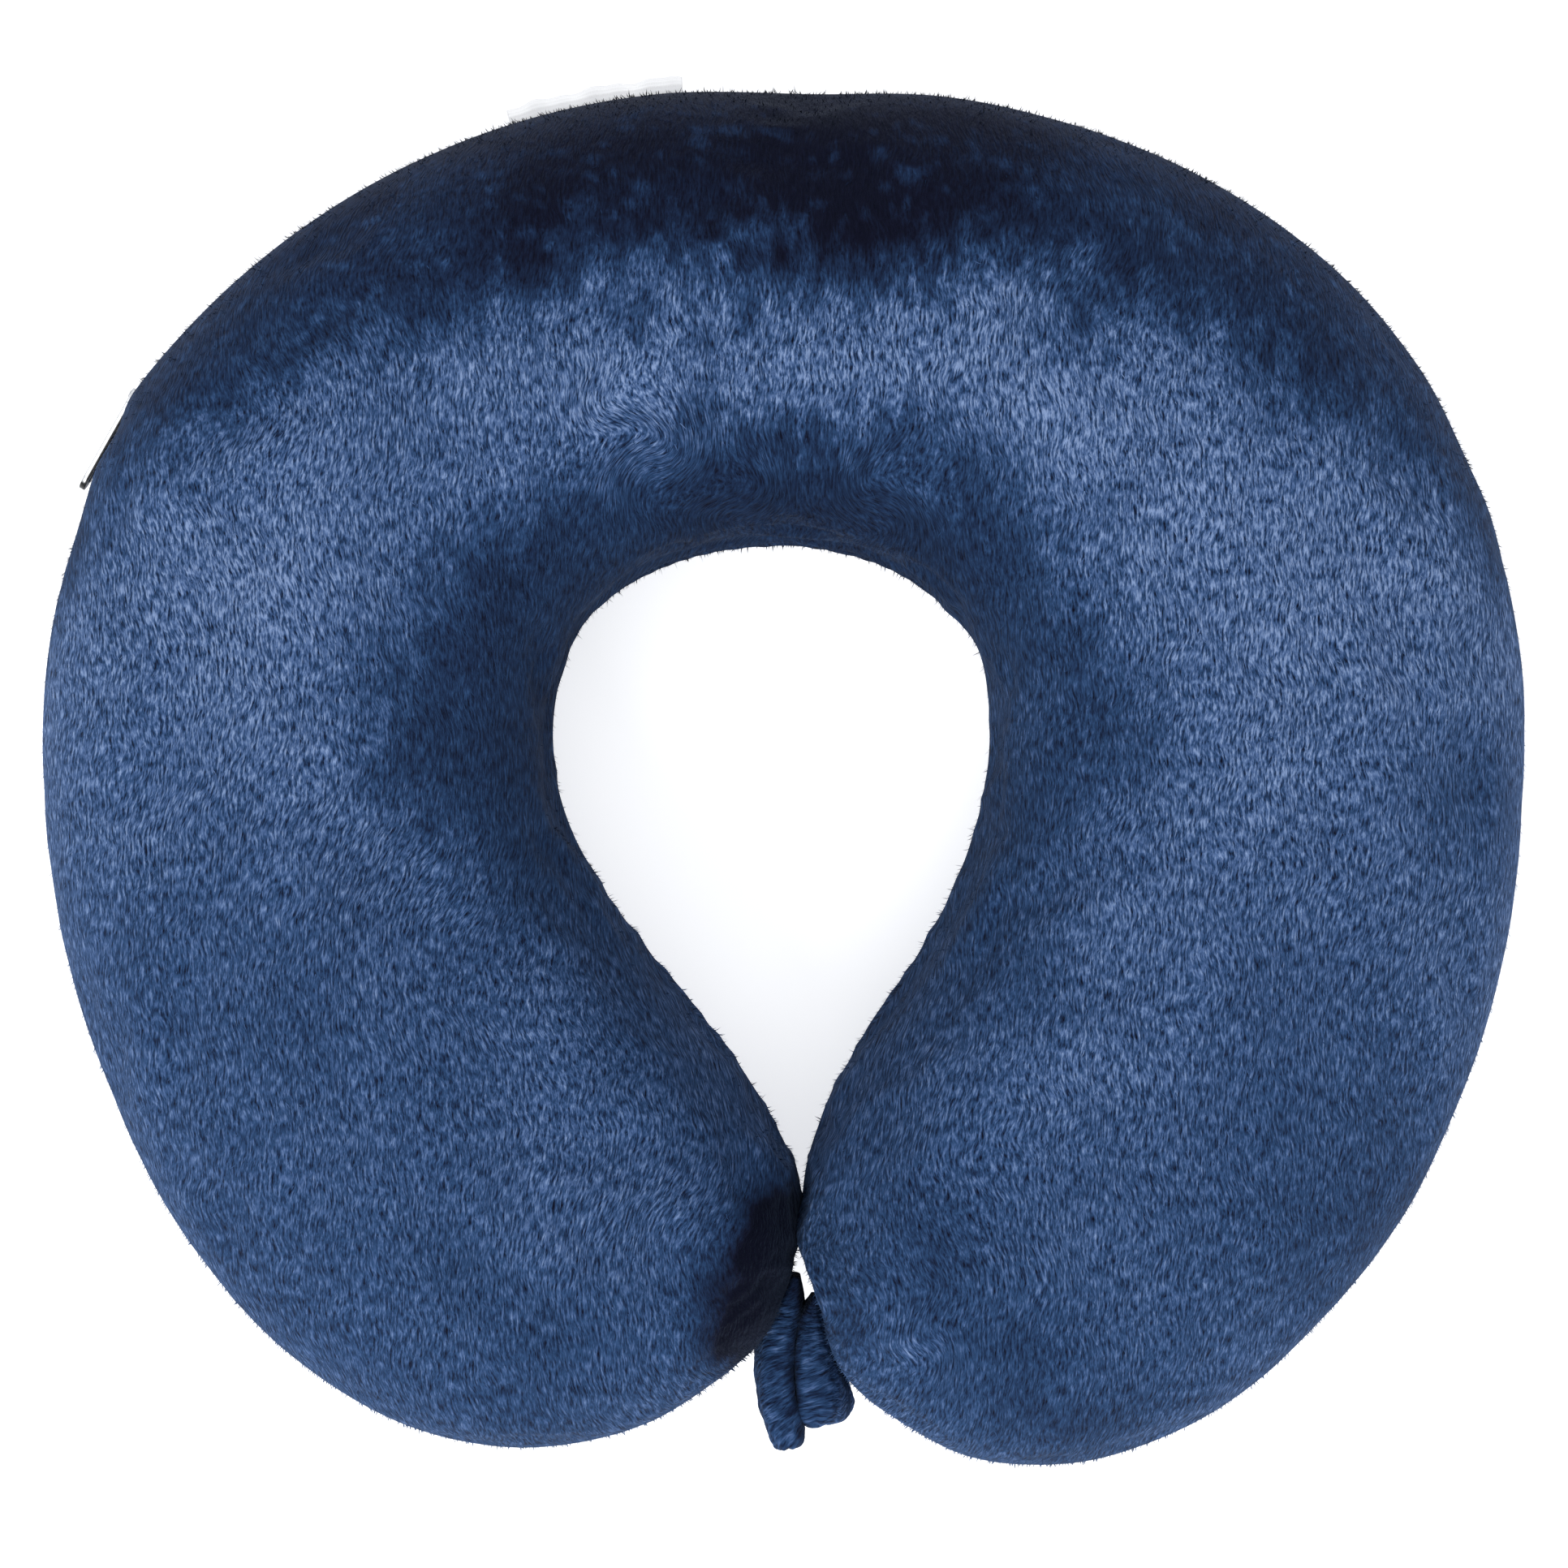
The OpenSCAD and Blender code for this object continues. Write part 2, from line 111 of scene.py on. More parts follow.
STATIONS = np.array(
    LEFT_ARM + [zip_station(i) for i in range(len(ZIP_INNER))] + RIGHT_SHOULDER[::-1] + RIGHT_ARM[::-1],
    float,
)


def smoothstep(low, high, x):
    t = np.clip((x - low) / (high - low), 0, 1)
    return t * t * (3 - 2 * t)


def smoothed(values, times=1):
    """The same array, with each inner row moved towards the middle of its neighbours."""
    for _ in range(times):
        values[1:-1] = (values[:-2] + 2 * values[1:-1] + values[2:]) / 4
    return values


def unit(vectors, least=1e-9):
    return vectors / np.maximum(np.linalg.norm(vectors, axis=-1, keepdims=True), least)


def squared(c):
    """Cosine or sine of a slightly squared circle."""
    return np.sign(c) * np.abs(c) ** (1 - FULLNESS)


def along(places):
    """Catmull-Rom stations at these places, which count from 0 in stations."""
    last = len(STATIONS) - 1
    i = np.clip(np.floor(places).astype(int), 0, last - 1)
    k = (places - i)[:, None]
    a, b, c, d = (STATIONS[np.clip(i + n, 0, last)] for n in (-1, 0, 1, 2))
    square, cube = 2 * a - 5 * b + 4 * c - d, 3 * b - a - 3 * c + d
    return 0.5 * (2 * b + (c - a) * k + square * k**2 + cube * k**3)


def even_rows(count):
    """Stations at even distances along the pillow, measured on its outer and inner edges together."""
    fine = np.linspace(0, len(STATIONS) - 1, MEASURE_STEPS)
    p = along(fine)
    step = np.hypot(*np.diff(p[:, :2], axis=0).T) + np.hypot(*np.diff(p[:, 2:4], axis=0).T)
    length = np.concatenate([[0], np.cumsum(step)])
    rows = along(np.interp(np.linspace(0, length[-1], count), length, fine))
    away_from_tips = smoothstep(*CORNERS_FROM_Y, rows[:, 3])[:, None]
    inner = smoothed(rows[:, 2:4].copy(), round((CORNER_SOFTNESS * count / length[-1]) ** 2))
    rows[:, 2:4] += away_from_tips * (inner - rows[:, 2:4])
    return rows


def section(rows, t):
    """Points of the plain surface at each row and angle: 0 is the outer edge and a quarter turn the top."""
    outer, inner = rows[:, None, :2], rows[:, None, 2:4]
    xy = (outer + inner) / 2 + (outer - inner) / 2 * squared(np.cos(t))[..., None]
    z = EQUATOR + (HALF_H - rows[:, 4])[:, None] * squared(np.sin(t))
    soft = 0.5 * (z + np.sqrt(z**2 + FLOOR_SOFTNESS**2))
    return np.concatenate([xy, soft[..., None]], axis=-1)


def angle_at(rows, height):
    """Angle at which the section stands this high above its middle."""
    return np.arcsin(np.clip(height / (HALF_H - rows[:, 4] + 1e-6), 0, 1) ** (1 / (1 - FULLNESS)))


def zip_angle(rows):
    return np.degrees(np.arctan2(rows[:, 1] - ZIP_CENTRE[1], rows[:, 0] - ZIP_CENTRE[0]))


def slot_height(rows):
    """Half the open height between the two panels at the outer seam: the zip's slot, or a closed seam."""
    angle = zip_angle(rows)
    opened = (smoothstep(ZIP_RIGHT - SLOT_TAPER, ZIP_RIGHT, angle)
              * (1 - smoothstep(ZIP_LEFT, ZIP_LEFT + SLOT_TAPER, angle)))
    opened = np.where(rows[:, 1] > 0, opened, 0)
    return SEAM_HALF_GAP + (SLOT_HALF - SEAM_HALF_GAP) * opened


def backed_by_tape(rows):
    """1 where the zip's tape lies behind the slot, and 0 where the folded edges have to close it."""
    angle = zip_angle(rows)
    backed = (smoothstep(TAPE_FROM, TAPE_FROM + TAPE_END, angle)
              * (1 - smoothstep(TAPE_TO - TAPE_END, TAPE_TO, angle)))
    return np.where(rows[:, 1] > 0, backed, 0)


def spaced(length, count):
    """Distances from 0 to length, closer together near both ends, where the seams roll in."""
    crowd = ROLL_RADIUS * np.array(ROLL_STEPS)
    crowd = crowd[None] * np.minimum(1, length / FULL_WIDTH)[:, None]
    first, last = crowd[:, -1:], length[:, None] - crowd[:, -1:]
    middle = first + (last - first) * np.linspace(0, 1, count)[None, 1:-1]
    return np.concatenate([crowd, middle, length[:, None] - crowd[:, ::-1]], axis=1)


NOISE_PRIMES = (374761393, 668265263, 2147483647)
NOISE_SEED_PRIME = 974634777
NOISE_MIX_PRIME = 1274126177
LOW_32_BITS = 0xFFFFFFFF
LOW_24_BITS = 0xFFFFFF


def value_noise(p, scale, seed):
    """Smooth noise from -1 to 1 on points, one lump every scale."""
    q = p / scale
    cell = np.floor(q).astype(np.int64)
    f = q - cell
    f = f * f * (3 - 2 * f)
    total = 0
    for corner in np.ndindex(2, 2, 2):
        c = cell + corner
        h = sum(c[..., n] * NOISE_PRIMES[n] for n in range(3)) + seed * NOISE_SEED_PRIME
        h = h & LOW_32_BITS
        h = ((h ^ (h >> 13)) * NOISE_MIX_PRIME) & LOW_32_BITS
        h = ((h ^ (h >> 16)) & LOW_24_BITS) / LOW_24_BITS
        weight = np.prod(np.where(corner, f, 1 - f), axis=-1)
        total = total + h * weight
    return 2 * total - 1


def grid_normals(p):
    """Unit normals of a grid of points, by the differences between neighbours."""
    return unit(np.cross(np.gradient(p, axis=0), np.gradient(p, axis=1)))


def ring_normals(p):
    """Unit normals of a grid whose rows close on themselves."""
    return grid_normals(np.concatenate([p[:, -1:], p, p[:, :1]], axis=1))[:, 1:-1]


def ring_faces(rows, columns, turned=False):
    """Quads of a grid whose rows close on themselves."""
    faces = []
    for i in range(rows - 1):
        for j in range(columns):
            k = (j + 1) % columns
            a, b, c, d = i * columns + j, i * columns + k, (i + 1) * columns + k, (i + 1) * columns + j
            faces.append((a, d, c, b) if turned else (a, b, c, d))
    return faces


def end_caps(rows, columns):
    """The two polygons that close the ends of such a grid."""
    return [tuple(range(columns))[::-1], tuple((rows - 1) * columns + j for j in range(columns))]


# ---- brushed tones of the pile, with painted shade and painted highlight

# Places where the pile is brushed lighter or darker or carries painted shade or painted highlight, among
# them the painted shadow in the gap between the tips, in millimetres: x, y, reach, and how much lighter or
# darker.
BRUSHED_AND_SHADED = [
    (-112, 34, 26, 0.10), (105, 34, 30, 0.10), (96, -8, 34, 0.06), (-66, 8, 20, -0.02),
    (-118, -50, 26, -0.06), (-92, -52, 20, -0.07), (62, 8, 16, -0.10), (46, -42, 14, -0.14),
    (134, -6, 16, -0.16), (100, -48, 22, -0.09), (120, -88, 32, -0.19), (24, -98, 20, -0.13),
    (-52, -122, 26, -0.09), (100, 76, 14, -0.18), (80, 93, 12, 0.16), (50, 10, 12, 0.15),
    (60, -55, 24, 0.08), (52, -128, 26, -0.16), (-0.5, -91, 9, -0.8), (-4, -105, 13, -0.85),
    (-7, -114, 10, -0.6), (10, -112, 9, -0.10), (-95, -105, 24, -0.04), (-38, -86, 24, 0.06),
    (64, 112, 16, 0.16), (98, 88, 10, 0.10), (-70, 108, 14, 0.12), (-96, 92, 12, 0.12),
    (-16, 84, 5, -0.22), (-8, 86, 3, -0.18), (-26, 60, 8, 0.16), (50, 70, 10, 0.08),
    (-60, 44, 12, -0.10), (24, -115, 5, 0.12),
]

# Nearer than this to the tips, a brushed place or a place of painted shade is on its own arm only.
ARMS_MEET_Y = -80

# Places where the pile turns away from its usual way: x, y, reach and degrees.
SWIRLS = [
    (-24, 58, 9, 70), (-34, 66, 8, -40), (-8, 50, 7, 80), (18, 50, 8, -70),
    (-20, -84, 26, 24), (26, -92, 26, -16), (-70, -20, 30, 18), (-120, 40, 36, -14),
    (62, 98, 16, 20), (-92, 84, 22, -26), (120, -30, 30, 12), (26, -114, 6, -40),
]

# Around the pillow, by the angle of its middle line in degrees: where the painted shade of the outer slope
# ends, where the painted highlight of the crest ends, how light the crest and the inner slope with its
# painted shade are, and how dark the outer slope is painted.
TURN_AT = [-60, -20, 0, 10, 22, 32, 42, 60, 90, 115, 130, 140, 150, 160, 172, 180, 200, 230]
DARK_END = [-40, -30, -12, 10, 34, 52, 64, 76, 80, 77, 70, 60, 46, 30, 10, -12, -30, -40]
CREST_END = [150, 128, 114, 112, 112, 112, 110, 106, 104, 106, 108, 110, 108, 104, 100, 98, 112, 150]
CREST_TONE = [0.62, 0.68, 0.72, 0.76, 0.80, 0.82, 0.82, 0.86, 0.92,
              0.86, 0.80, 0.78, 0.78, 0.78, 0.77, 0.75, 0.66, 0.60]
INNER_TONE = [0.56, 0.50, 0.46, 0.44, 0.44, 0.42, 0.38, 0.34, 0.30,
              0.32, 0.33, 0.34, 0.34, 0.34, 0.34, 0.36, 0.48, 0.54]
DARK_TONE = [0.50, 0.50, 0.42, 0.38, 0.36, 0.33, 0.26, 0.14, 0.06,
             0.12, 0.20, 0.27, 0.32, 0.38, 0.44, 0.50, 0.50, 0.50]

# The edges between dark, crest and inner slope are ragged. Each wave has its degrees, size and seed.
RAGGED_WAVES = [(7, 14, 3), (5, 4, 4)]
RAGGED_STREAKS, STREAK_SIZE, STREAK_SEED = 9, (1.5, 5, 5), 5
FLECK_TONE, FLECK_SIZE, FLECK_SEED = 0.20, (2, 3, 3), 7
FLECKS_NEAR_EDGE = (24, 64)
CREST_FADE = (-14, 20)
INNER_FADE = (-8, 30)
PATCH_FALL = 1.5
TONE_WAVE = (0.05, 16, 12)
UNDER_TONE = 0.55
UNDER_WAVE = (0.1, 20, 6)
UNDER_FADE = (4, 40)
TONE_RANGE = (0.02, 1.1)


def tone_at(rows, t, p, side):
    """How light the pile is painted, from 0 to 1: painted shade on the slopes that face away from the light,
    a painted highlight on the crest, and brushed patches and flecks.
    """
    degrees = np.degrees(t)
    middle = (rows[:, :2] + rows[:, 2:4]) / 2
    way = np.degrees(np.arctan2(middle[:, 1], middle[:, 0]))
    way = np.where(way < -90, way + 360, way)  # both arms count away from the gap between them
    dark_end, crest_end, crest, inner, dark = (
        np.interp(way, TURN_AT, values)[:, None]
        for values in (DARK_END, CREST_END, CREST_TONE, INNER_TONE, DARK_TONE))
    arm = np.where(np.arange(len(rows)) < len(rows) / 2, -1, 1)[:, None]
    ragged = sum(size * value_noise(p, scale, seed) for size, scale, seed in RAGGED_WAVES)
    ragged = ragged + RAGGED_STREAKS * value_noise(p / STREAK_SIZE, 1, STREAK_SEED)
    flecks = FLECK_TONE * smoothstep(0.1, 0.8, value_noise(p / FLECK_SIZE, 1, FLECK_SEED))
    flecks = flecks * (1 - smoothstep(*FLECKS_NEAR_EDGE, dark_end - degrees))
    # Painted shade on the outer and inner slopes, and a painted highlight on the crest between them
    lit = smoothstep(*CREST_FADE, degrees + ragged - dark_end)
    inside = smoothstep(*INNER_FADE, degrees + ragged - crest_end)
    top = dark + flecks + (crest - dark - flecks) * lit
    top = top + (inner - top) * inside
    uneven = 1 + 0.5 * value_noise(p, 6, 11)
    # Brushed patches, painted shade and painted highlight, with the painted shadow in the gap between the
    # tips
    for x, y, reach, change in BRUSHED_AND_SHADED:
        away = np.hypot(p[..., 0] - x, p[..., 1] - y) / reach
        same_arm = arm * x > 0 if y < ARMS_MEET_Y else 1.0
        top = top + same_arm * change * np.exp(-(away**2) * PATCH_FALL) * uneven
    top = top + TONE_WAVE[0] * value_noise(p, *TONE_WAVE[1:])
    if side > 0:
        return np.clip(top, *TONE_RANGE)
    under = UNDER_TONE + UNDER_WAVE[0] * value_noise(p, *UNDER_WAVE[1:])
    near_seam = 1 - smoothstep(*UNDER_FADE, EQUATOR - p[..., 2])
    return np.clip(near_seam * top + (1 - near_seam) * under, *TONE_RANGE)


def swirled(fabric):
    """The fabric's coordinates, turned where the pile has been brushed another way."""
    fabric = fabric.copy()
    for x, y, reach, degrees in SWIRLS:
        away = fabric - [x, y]
        turn = np.radians(degrees) * np.exp(-np.sum(away**2, axis=-1) / reach**2)
        c, d = np.cos(turn), np.sin(turn)
        fabric = np.stack([x + away[..., 0] * c - away[..., 1] * d,
                           y + away[..., 0] * d + away[..., 1] * c], axis=-1)
    return fabric


# ---- panels of the cover

ROLL_RADIUS = 1.2
ROLL_STEPS = (0, 0.12, 0.3, 0.55, 0.85, 1.25)
FOLD_STEPS = [0.5, 1.2, 2.1]
FOLD_FULL_WIDTH = 30.0
# Where the pillow is narrower than this, near its tips, its seams roll in less.
FULL_WIDTH = 40.0
PUCKER_DEPTH = 0.9
PUCKER_REACH = 9
LUMP_DEPTH = 0.4
LUMP_SIZES = (34, 13)
SMOOTH_RIM = 36.0
# How much the fabric's coordinates follow the plan, and how much the surface across the pillow.
PLAN_SHARE = 0.5
ACROSS_STEPS = 500


def puckers(rows, s_in):
    """Small gathers along the inner seam, strongest where the neck opening turns most."""
    place = np.cumsum(np.concatenate([[0], np.hypot(*np.diff(rows[:, 2:4], axis=0).T)]))
    waves = np.sin(place / 3.1 + 2 * np.sin(place / 11)) * (0.6 + 0.4 * np.sin(place / 17))
    tight = 0.25 + 0.75 * smoothstep(10, 40, rows[:, 3])
    fading = np.exp(-((s_in / PUCKER_REACH) ** 1.5)) * smoothstep(0, 3, s_in)
    return PUCKER_DEPTH * (waves * tight)[:, None] * fading


PULL_DENT = 1.9
PULL_DENT_REACH = 26.0
PULL_DENT_STARTS, PULL_DENT_ENDS = (143.5, 147.5), (151, 159)


def pressed_by_pull(rows):
    """How far the cover is pressed in behind the zip's pull, past the closed end of the slot."""
    angle = np.where(rows[:, 1] > 0, zip_angle(rows), 0)
    return PULL_DENT * smoothstep(*PULL_DENT_STARTS, angle) * (1 - smoothstep(*PULL_DENT_ENDS, angle))


SETTLE_ROWS, SETTLE_AROUND = 150, 60
SETTLE_FRAMES = 20
SETTLE_PRESSURE = 4.0
SETTLE_GROWTH = 0.06
SETTLE_LIMIT = 1.1
SETTLE_BLUR = 9
FLAT_HEIGHT = 1.5
CLOTH_SETTINGS = {
    "quality": 6, "mass": 0.3, "tension_stiffness": 12, "compression_stiffness": 12, "shear_stiffness": 5,
    "bending_stiffness": 0.4, "use_pressure": True, "uniform_pressure_force": SETTLE_PRESSURE,
    "vertex_group_mass": "seams", "shrink_min": -SETTLE_GROWTH,
}


def simulated(base):
    """Where the points of a closed cloth go, with air inside and its seams, ends and flat part held."""
    n, m = base.shape[:2]
    held = [i * m + j for i in range(n) for j in range(m)
            if j in (0, m // 2) or i in (0, n - 1) or base[i, j, 2] < FLAT_HEIGHT]
    obj = make_mesh("settling_cloth", base.reshape(-1, 3) * MM, ring_faces(n, m, turned=True))
    obj.vertex_groups.new(name="seams").add(held, 1.0, "REPLACE")
    cloth = obj.modifiers.new("cloth", "CLOTH")
    cloth.point_cache.frame_start, cloth.point_cache.frame_end = 1, SETTLE_FRAMES
    cloth.collision_settings.use_collision = False
    for key, value in CLOTH_SETTINGS.items():
        setattr(cloth.settings, key, value)
    cloth.settings.effector_weights.gravity = 0
    for number in range(1, SETTLE_FRAMES + 1):
        bpy.context.scene.frame_set(number)
    mesh = obj.evaluated_get(bpy.context.evaluated_depsgraph_get()).data
    moved = np.empty(len(mesh.vertices) * 3)
    mesh.vertices.foreach_get("co", moved)
    bpy.data.objects.remove(obj)
    bpy.context.scene.frame_set(1)
    return moved.reshape(base.shape) / MM


def settled():
    """How far the simulated cover is from the plain surface, without the broad swelling."""
    rows = even_rows(SETTLE_ROWS)[1:-1]
    angles = np.linspace(0, TURN, SETTLE_AROUND, endpoint=False)
    base = section(rows, np.tile(angles, (len(rows), 1)))
    out = np.sum((simulated(base) - base) * -ring_normals(base), axis=-1)
    broad = out
    for _ in range(SETTLE_BLUR):
        broad = smoothed((np.roll(broad, 1, axis=1) + 2 * broad + np.roll(broad, -1, axis=1)) / 4)
    return SETTLE_LIMIT * np.tanh((out - broad) / SETTLE_LIMIT)


def settled_at(cloth, count, t, side):
    """The settled cloth's distance at each row and angle of a finer panel."""
    n, m = cloth.shape
    i = np.clip(np.linspace(-1, n, count), 0, n - 1.001)[:, None]
    j = (side * t / TURN * m) % m
    i0, j0 = np.floor(i).astype(int), np.floor(j).astype(int)
    a, b = i - i0, j - j0
    j1 = (j0 + 1) % m
    j0 = j0 % m
    return ((1 - a) * ((1 - b) * cloth[i0, j0] + b * cloth[i0, j1])
            + a * ((1 - b) * cloth[i0 + 1, j0] + b * cloth[i0 + 1, j1]))


def lumpy(rows, t, p, side, cloth, s_out, s_in):
    """How far a panel stands out from its plain surface: lumps, the settled cloth, and the pull's dent."""
    broad, small = (value_noise(p, size, seed) for size, seed in zip(LUMP_SIZES, (1, 2)))
    lumps = LUMP_DEPTH * (broad + 0.5 * small) * smoothstep(0, 12, np.minimum(s_out, s_in))
    lumps = lumps * smoothstep(0, 25, p[..., 2])
    lumps = lumps + settled_at(cloth, len(rows), t, side) * smoothstep(0, 4, s_in)
    lumps = lumps * smoothstep(0, SMOOTH_RIM, s_out)
    return lumps - pressed_by_pull(rows)[:, None] * (1 - smoothstep(3, PULL_DENT_REACH, s_out))


def panel_points(side, cloth):
    """One panel's rows, angles, points, normals, fabric coordinates and ways across. The top's side is 1 and
    the bottom's -1."""
    rows = even_rows(PATH_COUNT)
    a = angle_at(rows, slot_height(rows))
    b = math.pi - angle_at(rows, SEAM_HALF_GAP)
    fine = a[:, None] + (b - a)[:, None] * np.linspace(0, 1, ACROSS_STEPS)[None]
    steps = np.linalg.norm(np.diff(section(rows, side * fine), axis=1), axis=-1)
    reach = np.concatenate([np.zeros((len(rows), 1)), np.cumsum(steps, axis=1)], axis=1)
    length = reach[:, -1]
    s = spaced(length, AROUND_COUNT)
    t = np.array([np.interp(s[i], reach[i], fine[i]) for i in range(len(rows))])
    p = section(rows, side * t)
    normal = -side * grid_normals(p)
    s_in = length[:, None] - s
    taper = np.minimum(1, length / FULL_WIDTH)[:, None]
    away = lumpy(rows, t, p, side, cloth, s, s_in) + puckers(rows, s_in) * (side > 0)
    away = away - taper * (roll_depth(s) + roll_depth(s_in))
    p = p + normal * away[..., None]
    p[..., 2] = np.maximum(p[..., 2], LOWEST)
    crest = np.array([np.interp(math.pi / 2, fine[i], reach[i]) for i in range(len(rows))])
    across = unit(rows[:, :2] - rows[:, 2:4])
    middle = (rows[:, :2] + rows[:, 2:4]) / 2
    laid = middle[:, None] + across[:, None] * (crest[:, None] - s)[..., None]
    fabric = PLAN_SHARE * p[..., :2] + (1 - PLAN_SHARE) * laid
    return rows, t, p, normal, swirled(fabric), across


def roll_depth(s):
    """How far the pile's surface has turned in at this distance from its seam."""
    k = np.clip(1 - s / ROLL_RADIUS, 0, 1)
    return ROLL_RADIUS * (1 - np.sqrt(1 - k * k))


def with_folds(p, across, fabric, tone, backed):
    """Adds the rows that fold in behind each seam, and meet each other where no tape is behind them."""
    inwards = -np.concatenate([across, np.zeros((len(across), 1))], axis=1)
    width = np.linalg.norm(p[:, 0] - p[:, -1], axis=1)
    scale = np.minimum(1, width / FOLD_FULL_WIDTH)[:, None]
    outer = [p[:, 0] + inwards * step * scale for step in FOLD_STEPS[::-1]]
    inner = [p[:, -1] - inwards * step * scale for step in FOLD_STEPS]
    for row, step in zip(outer, FOLD_STEPS[::-1]):
        row[:, 2] += (EQUATOR - row[:, 2]) * (1 - backed) * min(1, step / FOLD_STEPS[1])
    n = len(FOLD_STEPS)
    p = np.concatenate([np.stack(outer, 1), p, np.stack(inner, 1)], axis=1)
    fabric = np.pad(fabric, ((0, 0), (n, n), (0, 0)), mode="edge")
    return p, fabric, np.pad(tone, ((0, 0), (n, n)), mode="edge")


def grid_faces(rows, columns, turned):
    """Quads of an open grid."""
    faces = []
    for i in range(rows - 1):
        for j in range(columns - 1):
            a, d = i * columns + j, (i + 1) * columns + j
            faces.append((a, a + 1, d + 1, d) if turned else (a, d, d + 1, a + 1))
    return faces


def vertex_normals(p, faces):
    f = np.array(faces)
    n = np.cross(p[f[:, 2]] - p[f[:, 0]], p[f[:, 3]] - p[f[:, 1]])
    total = np.zeros_like(p, dtype=float)
    for k in range(4):
        np.add.at(total, f[:, k], n)
    return unit(total, 1e-12)


def linked(name, data):
    obj = bpy.data.objects.new(name, data)
    bpy.context.scene.collection.objects.link(obj)
    return obj


def make_mesh(name, points, faces, normals=None, floats=None, vectors=None, material=None):
    """A smooth shaded object from points in metres, with its attributes."""
    mesh = bpy.data.meshes.new(name)
    mesh.from_pydata([tuple(v) for v in points], [], faces)
    mesh.update()
    for key, values in (floats or {}).items():
        data = mesh.attributes.new(key, "FLOAT", "POINT").data
        data.foreach_set("value", np.asarray(values, np.float32).ravel())
    for key, values in (vectors or {}).items():
        data = mesh.attributes.new(key, "FLOAT_VECTOR", "POINT").data
        data.foreach_set("vector", np.asarray(values, np.float32).ravel())
    mesh.shade_smooth()
    if normals is not None:
        mesh.normals_split_custom_set_from_vertices([tuple(n) for n in normals])
    obj = linked(name, mesh)
    if material:
        mesh.materials.append(material)
    return obj


# Where the pillow would bend when an arm opens: the line where it starts, and how far it takes. Only a
# direction is worked out from it.
BEND_LINE = {"left_arm": (-0.132, 0.073), "right_arm": (0.132, 0.073)}
BEND_MIDDLE_Y = 0.043


def bend(obj, arm):
    """Bakes the piece's placing into its mesh. The way it would bend with its arm, from a line that leaves
    the zip and the middle of the back alone, is worked out but not used.
    """
    x, y = BEND_LINE[arm]
    direction = Vector((y - BEND_MIDDLE_Y, -abs(x), 0)).normalized()
    direction.x = math.copysign(direction.x, x)
    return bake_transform(obj)


def split_by_side(outer, inner):
    """Index of the row where the pillow crosses from its left half to its right half."""
    return int(np.argmin(np.abs(outer[:, 0] + inner[:, 0]) + 1000 * (outer[:, 1] < 0)))


def soft_half(obj, label, nodes):
    """This piece stands for its side's section and, on the left, for the one at the back."""
    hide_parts(f"{nodes}_{label}", *([f"{nodes}_back"] if label == "left" else []))
    bend(obj, f"{label}_arm")


TUFTS_PER_PANEL = 26000
TUFT_LENGTH = (1.3, 2.4)
TUFT_WIDTH = (0.16, 0.30)
TUFT_LIFT = (14, 34)
TUFT_ROOT = 0.12
TUFT_TURN = 0.3
TUFT_POINTS = 5
TUFT_SEED = 7
# Factors on a tuft's tone at its two root points, two middle points and tip: painted shade at the root and a
# painted highlight at the tip
TUFT_SHADE_AND_HIGHLIGHT = (0.8, 0.8, 1.0, 1.0, 1.15)


def pile_way(p, fabric):
    """Unit vectors on the surface, per grid cell, along which the fabric's second coordinate falls."""
    u, v = p[1:, :-1] - p[:-1, :-1], p[:-1, 1:] - p[:-1, :-1]
    fu, fv = fabric[1:, :-1] - fabric[:-1, :-1], fabric[:-1, 1:] - fabric[:-1, :-1]
    spread = fu[..., 0] * fv[..., 1] - fu[..., 1] * fv[..., 0]
    spread = np.where(np.abs(spread) < 1e-6, 1e-6, spread)
    return unit((fv[..., 0] / spread)[..., None] * u - (fu[..., 0] / spread)[..., None] * v)


def tufts(p, normal, tone, fabric, share, seed):
    """Loose tufts of pile that stand up a little: points, faces, normals, tones and fabric coordinates."""
    rng = np.random.default_rng(seed)
    u, v = p[1:, :-1] - p[:-1, :-1], p[:-1, 1:] - p[:-1, :-1]
    area = np.linalg.norm(np.cross(u, v), axis=-1)
    count = int(TUFTS_PER_PANEL * share)
    picked = rng.choice(area.size, count, p=(area / area.sum()).ravel())
    i, j = np.unravel_index(picked, area.shape)
    a, b = rng.random((2, count, 1))
    n, way = normal[i, j], pile_way(p, fabric)[i, j]
    across = np.cross(n, way)
    turn = rng.normal(0, TUFT_TURN, (count, 1))
    way, across = way * np.cos(turn) + across * np.sin(turn), across * np.cos(turn) - way * np.sin(turn)
    size, width, lift = (
        low + (high - low) * rng.random((count, 1)) for low, high in (TUFT_LENGTH, TUFT_WIDTH, TUFT_LIFT))
    lift = np.radians(lift)
    root = p[i, j] + a * u[i, j] + b * v[i, j] - n * TUFT_ROOT
    middle = root + 0.55 * size * (way * np.cos(0.5 * lift) + n * np.sin(0.5 * lift))
    tip = root + size * (way * np.cos(lift) + n * np.sin(lift))
    points = np.stack([root - across * width / 2, root + across * width / 2, middle + across * width * 0.4,
                       middle - across * width * 0.4, tip], axis=1)
    points[..., 2] = np.maximum(points[..., 2], LOWEST)
    base = (np.arange(count) * TUFT_POINTS).tolist()
    faces = [(k + 3, k + 2, k + 1, k) for k in base] + [(k + 4, k + 2, k + 3) for k in base]
    # Each tuft gets painted shade at its root and a painted highlight at its tip, with a random change of
    # tone
    shade = tone[i, j][:, None] * np.array(TUFT_SHADE_AND_HIGHLIGHT) * (0.85 + 0.35 * rng.random((count, 1)))
    place = np.repeat((fabric[i, j] + rng.normal(0, 0.4, (count, 2)))[:, None], TUFT_POINTS, axis=1)
    normals = np.repeat(n, TUFT_POINTS, axis=0)
    return points.reshape(-1, 3), faces, normals, shade.ravel(), place.reshape(-1, 2)


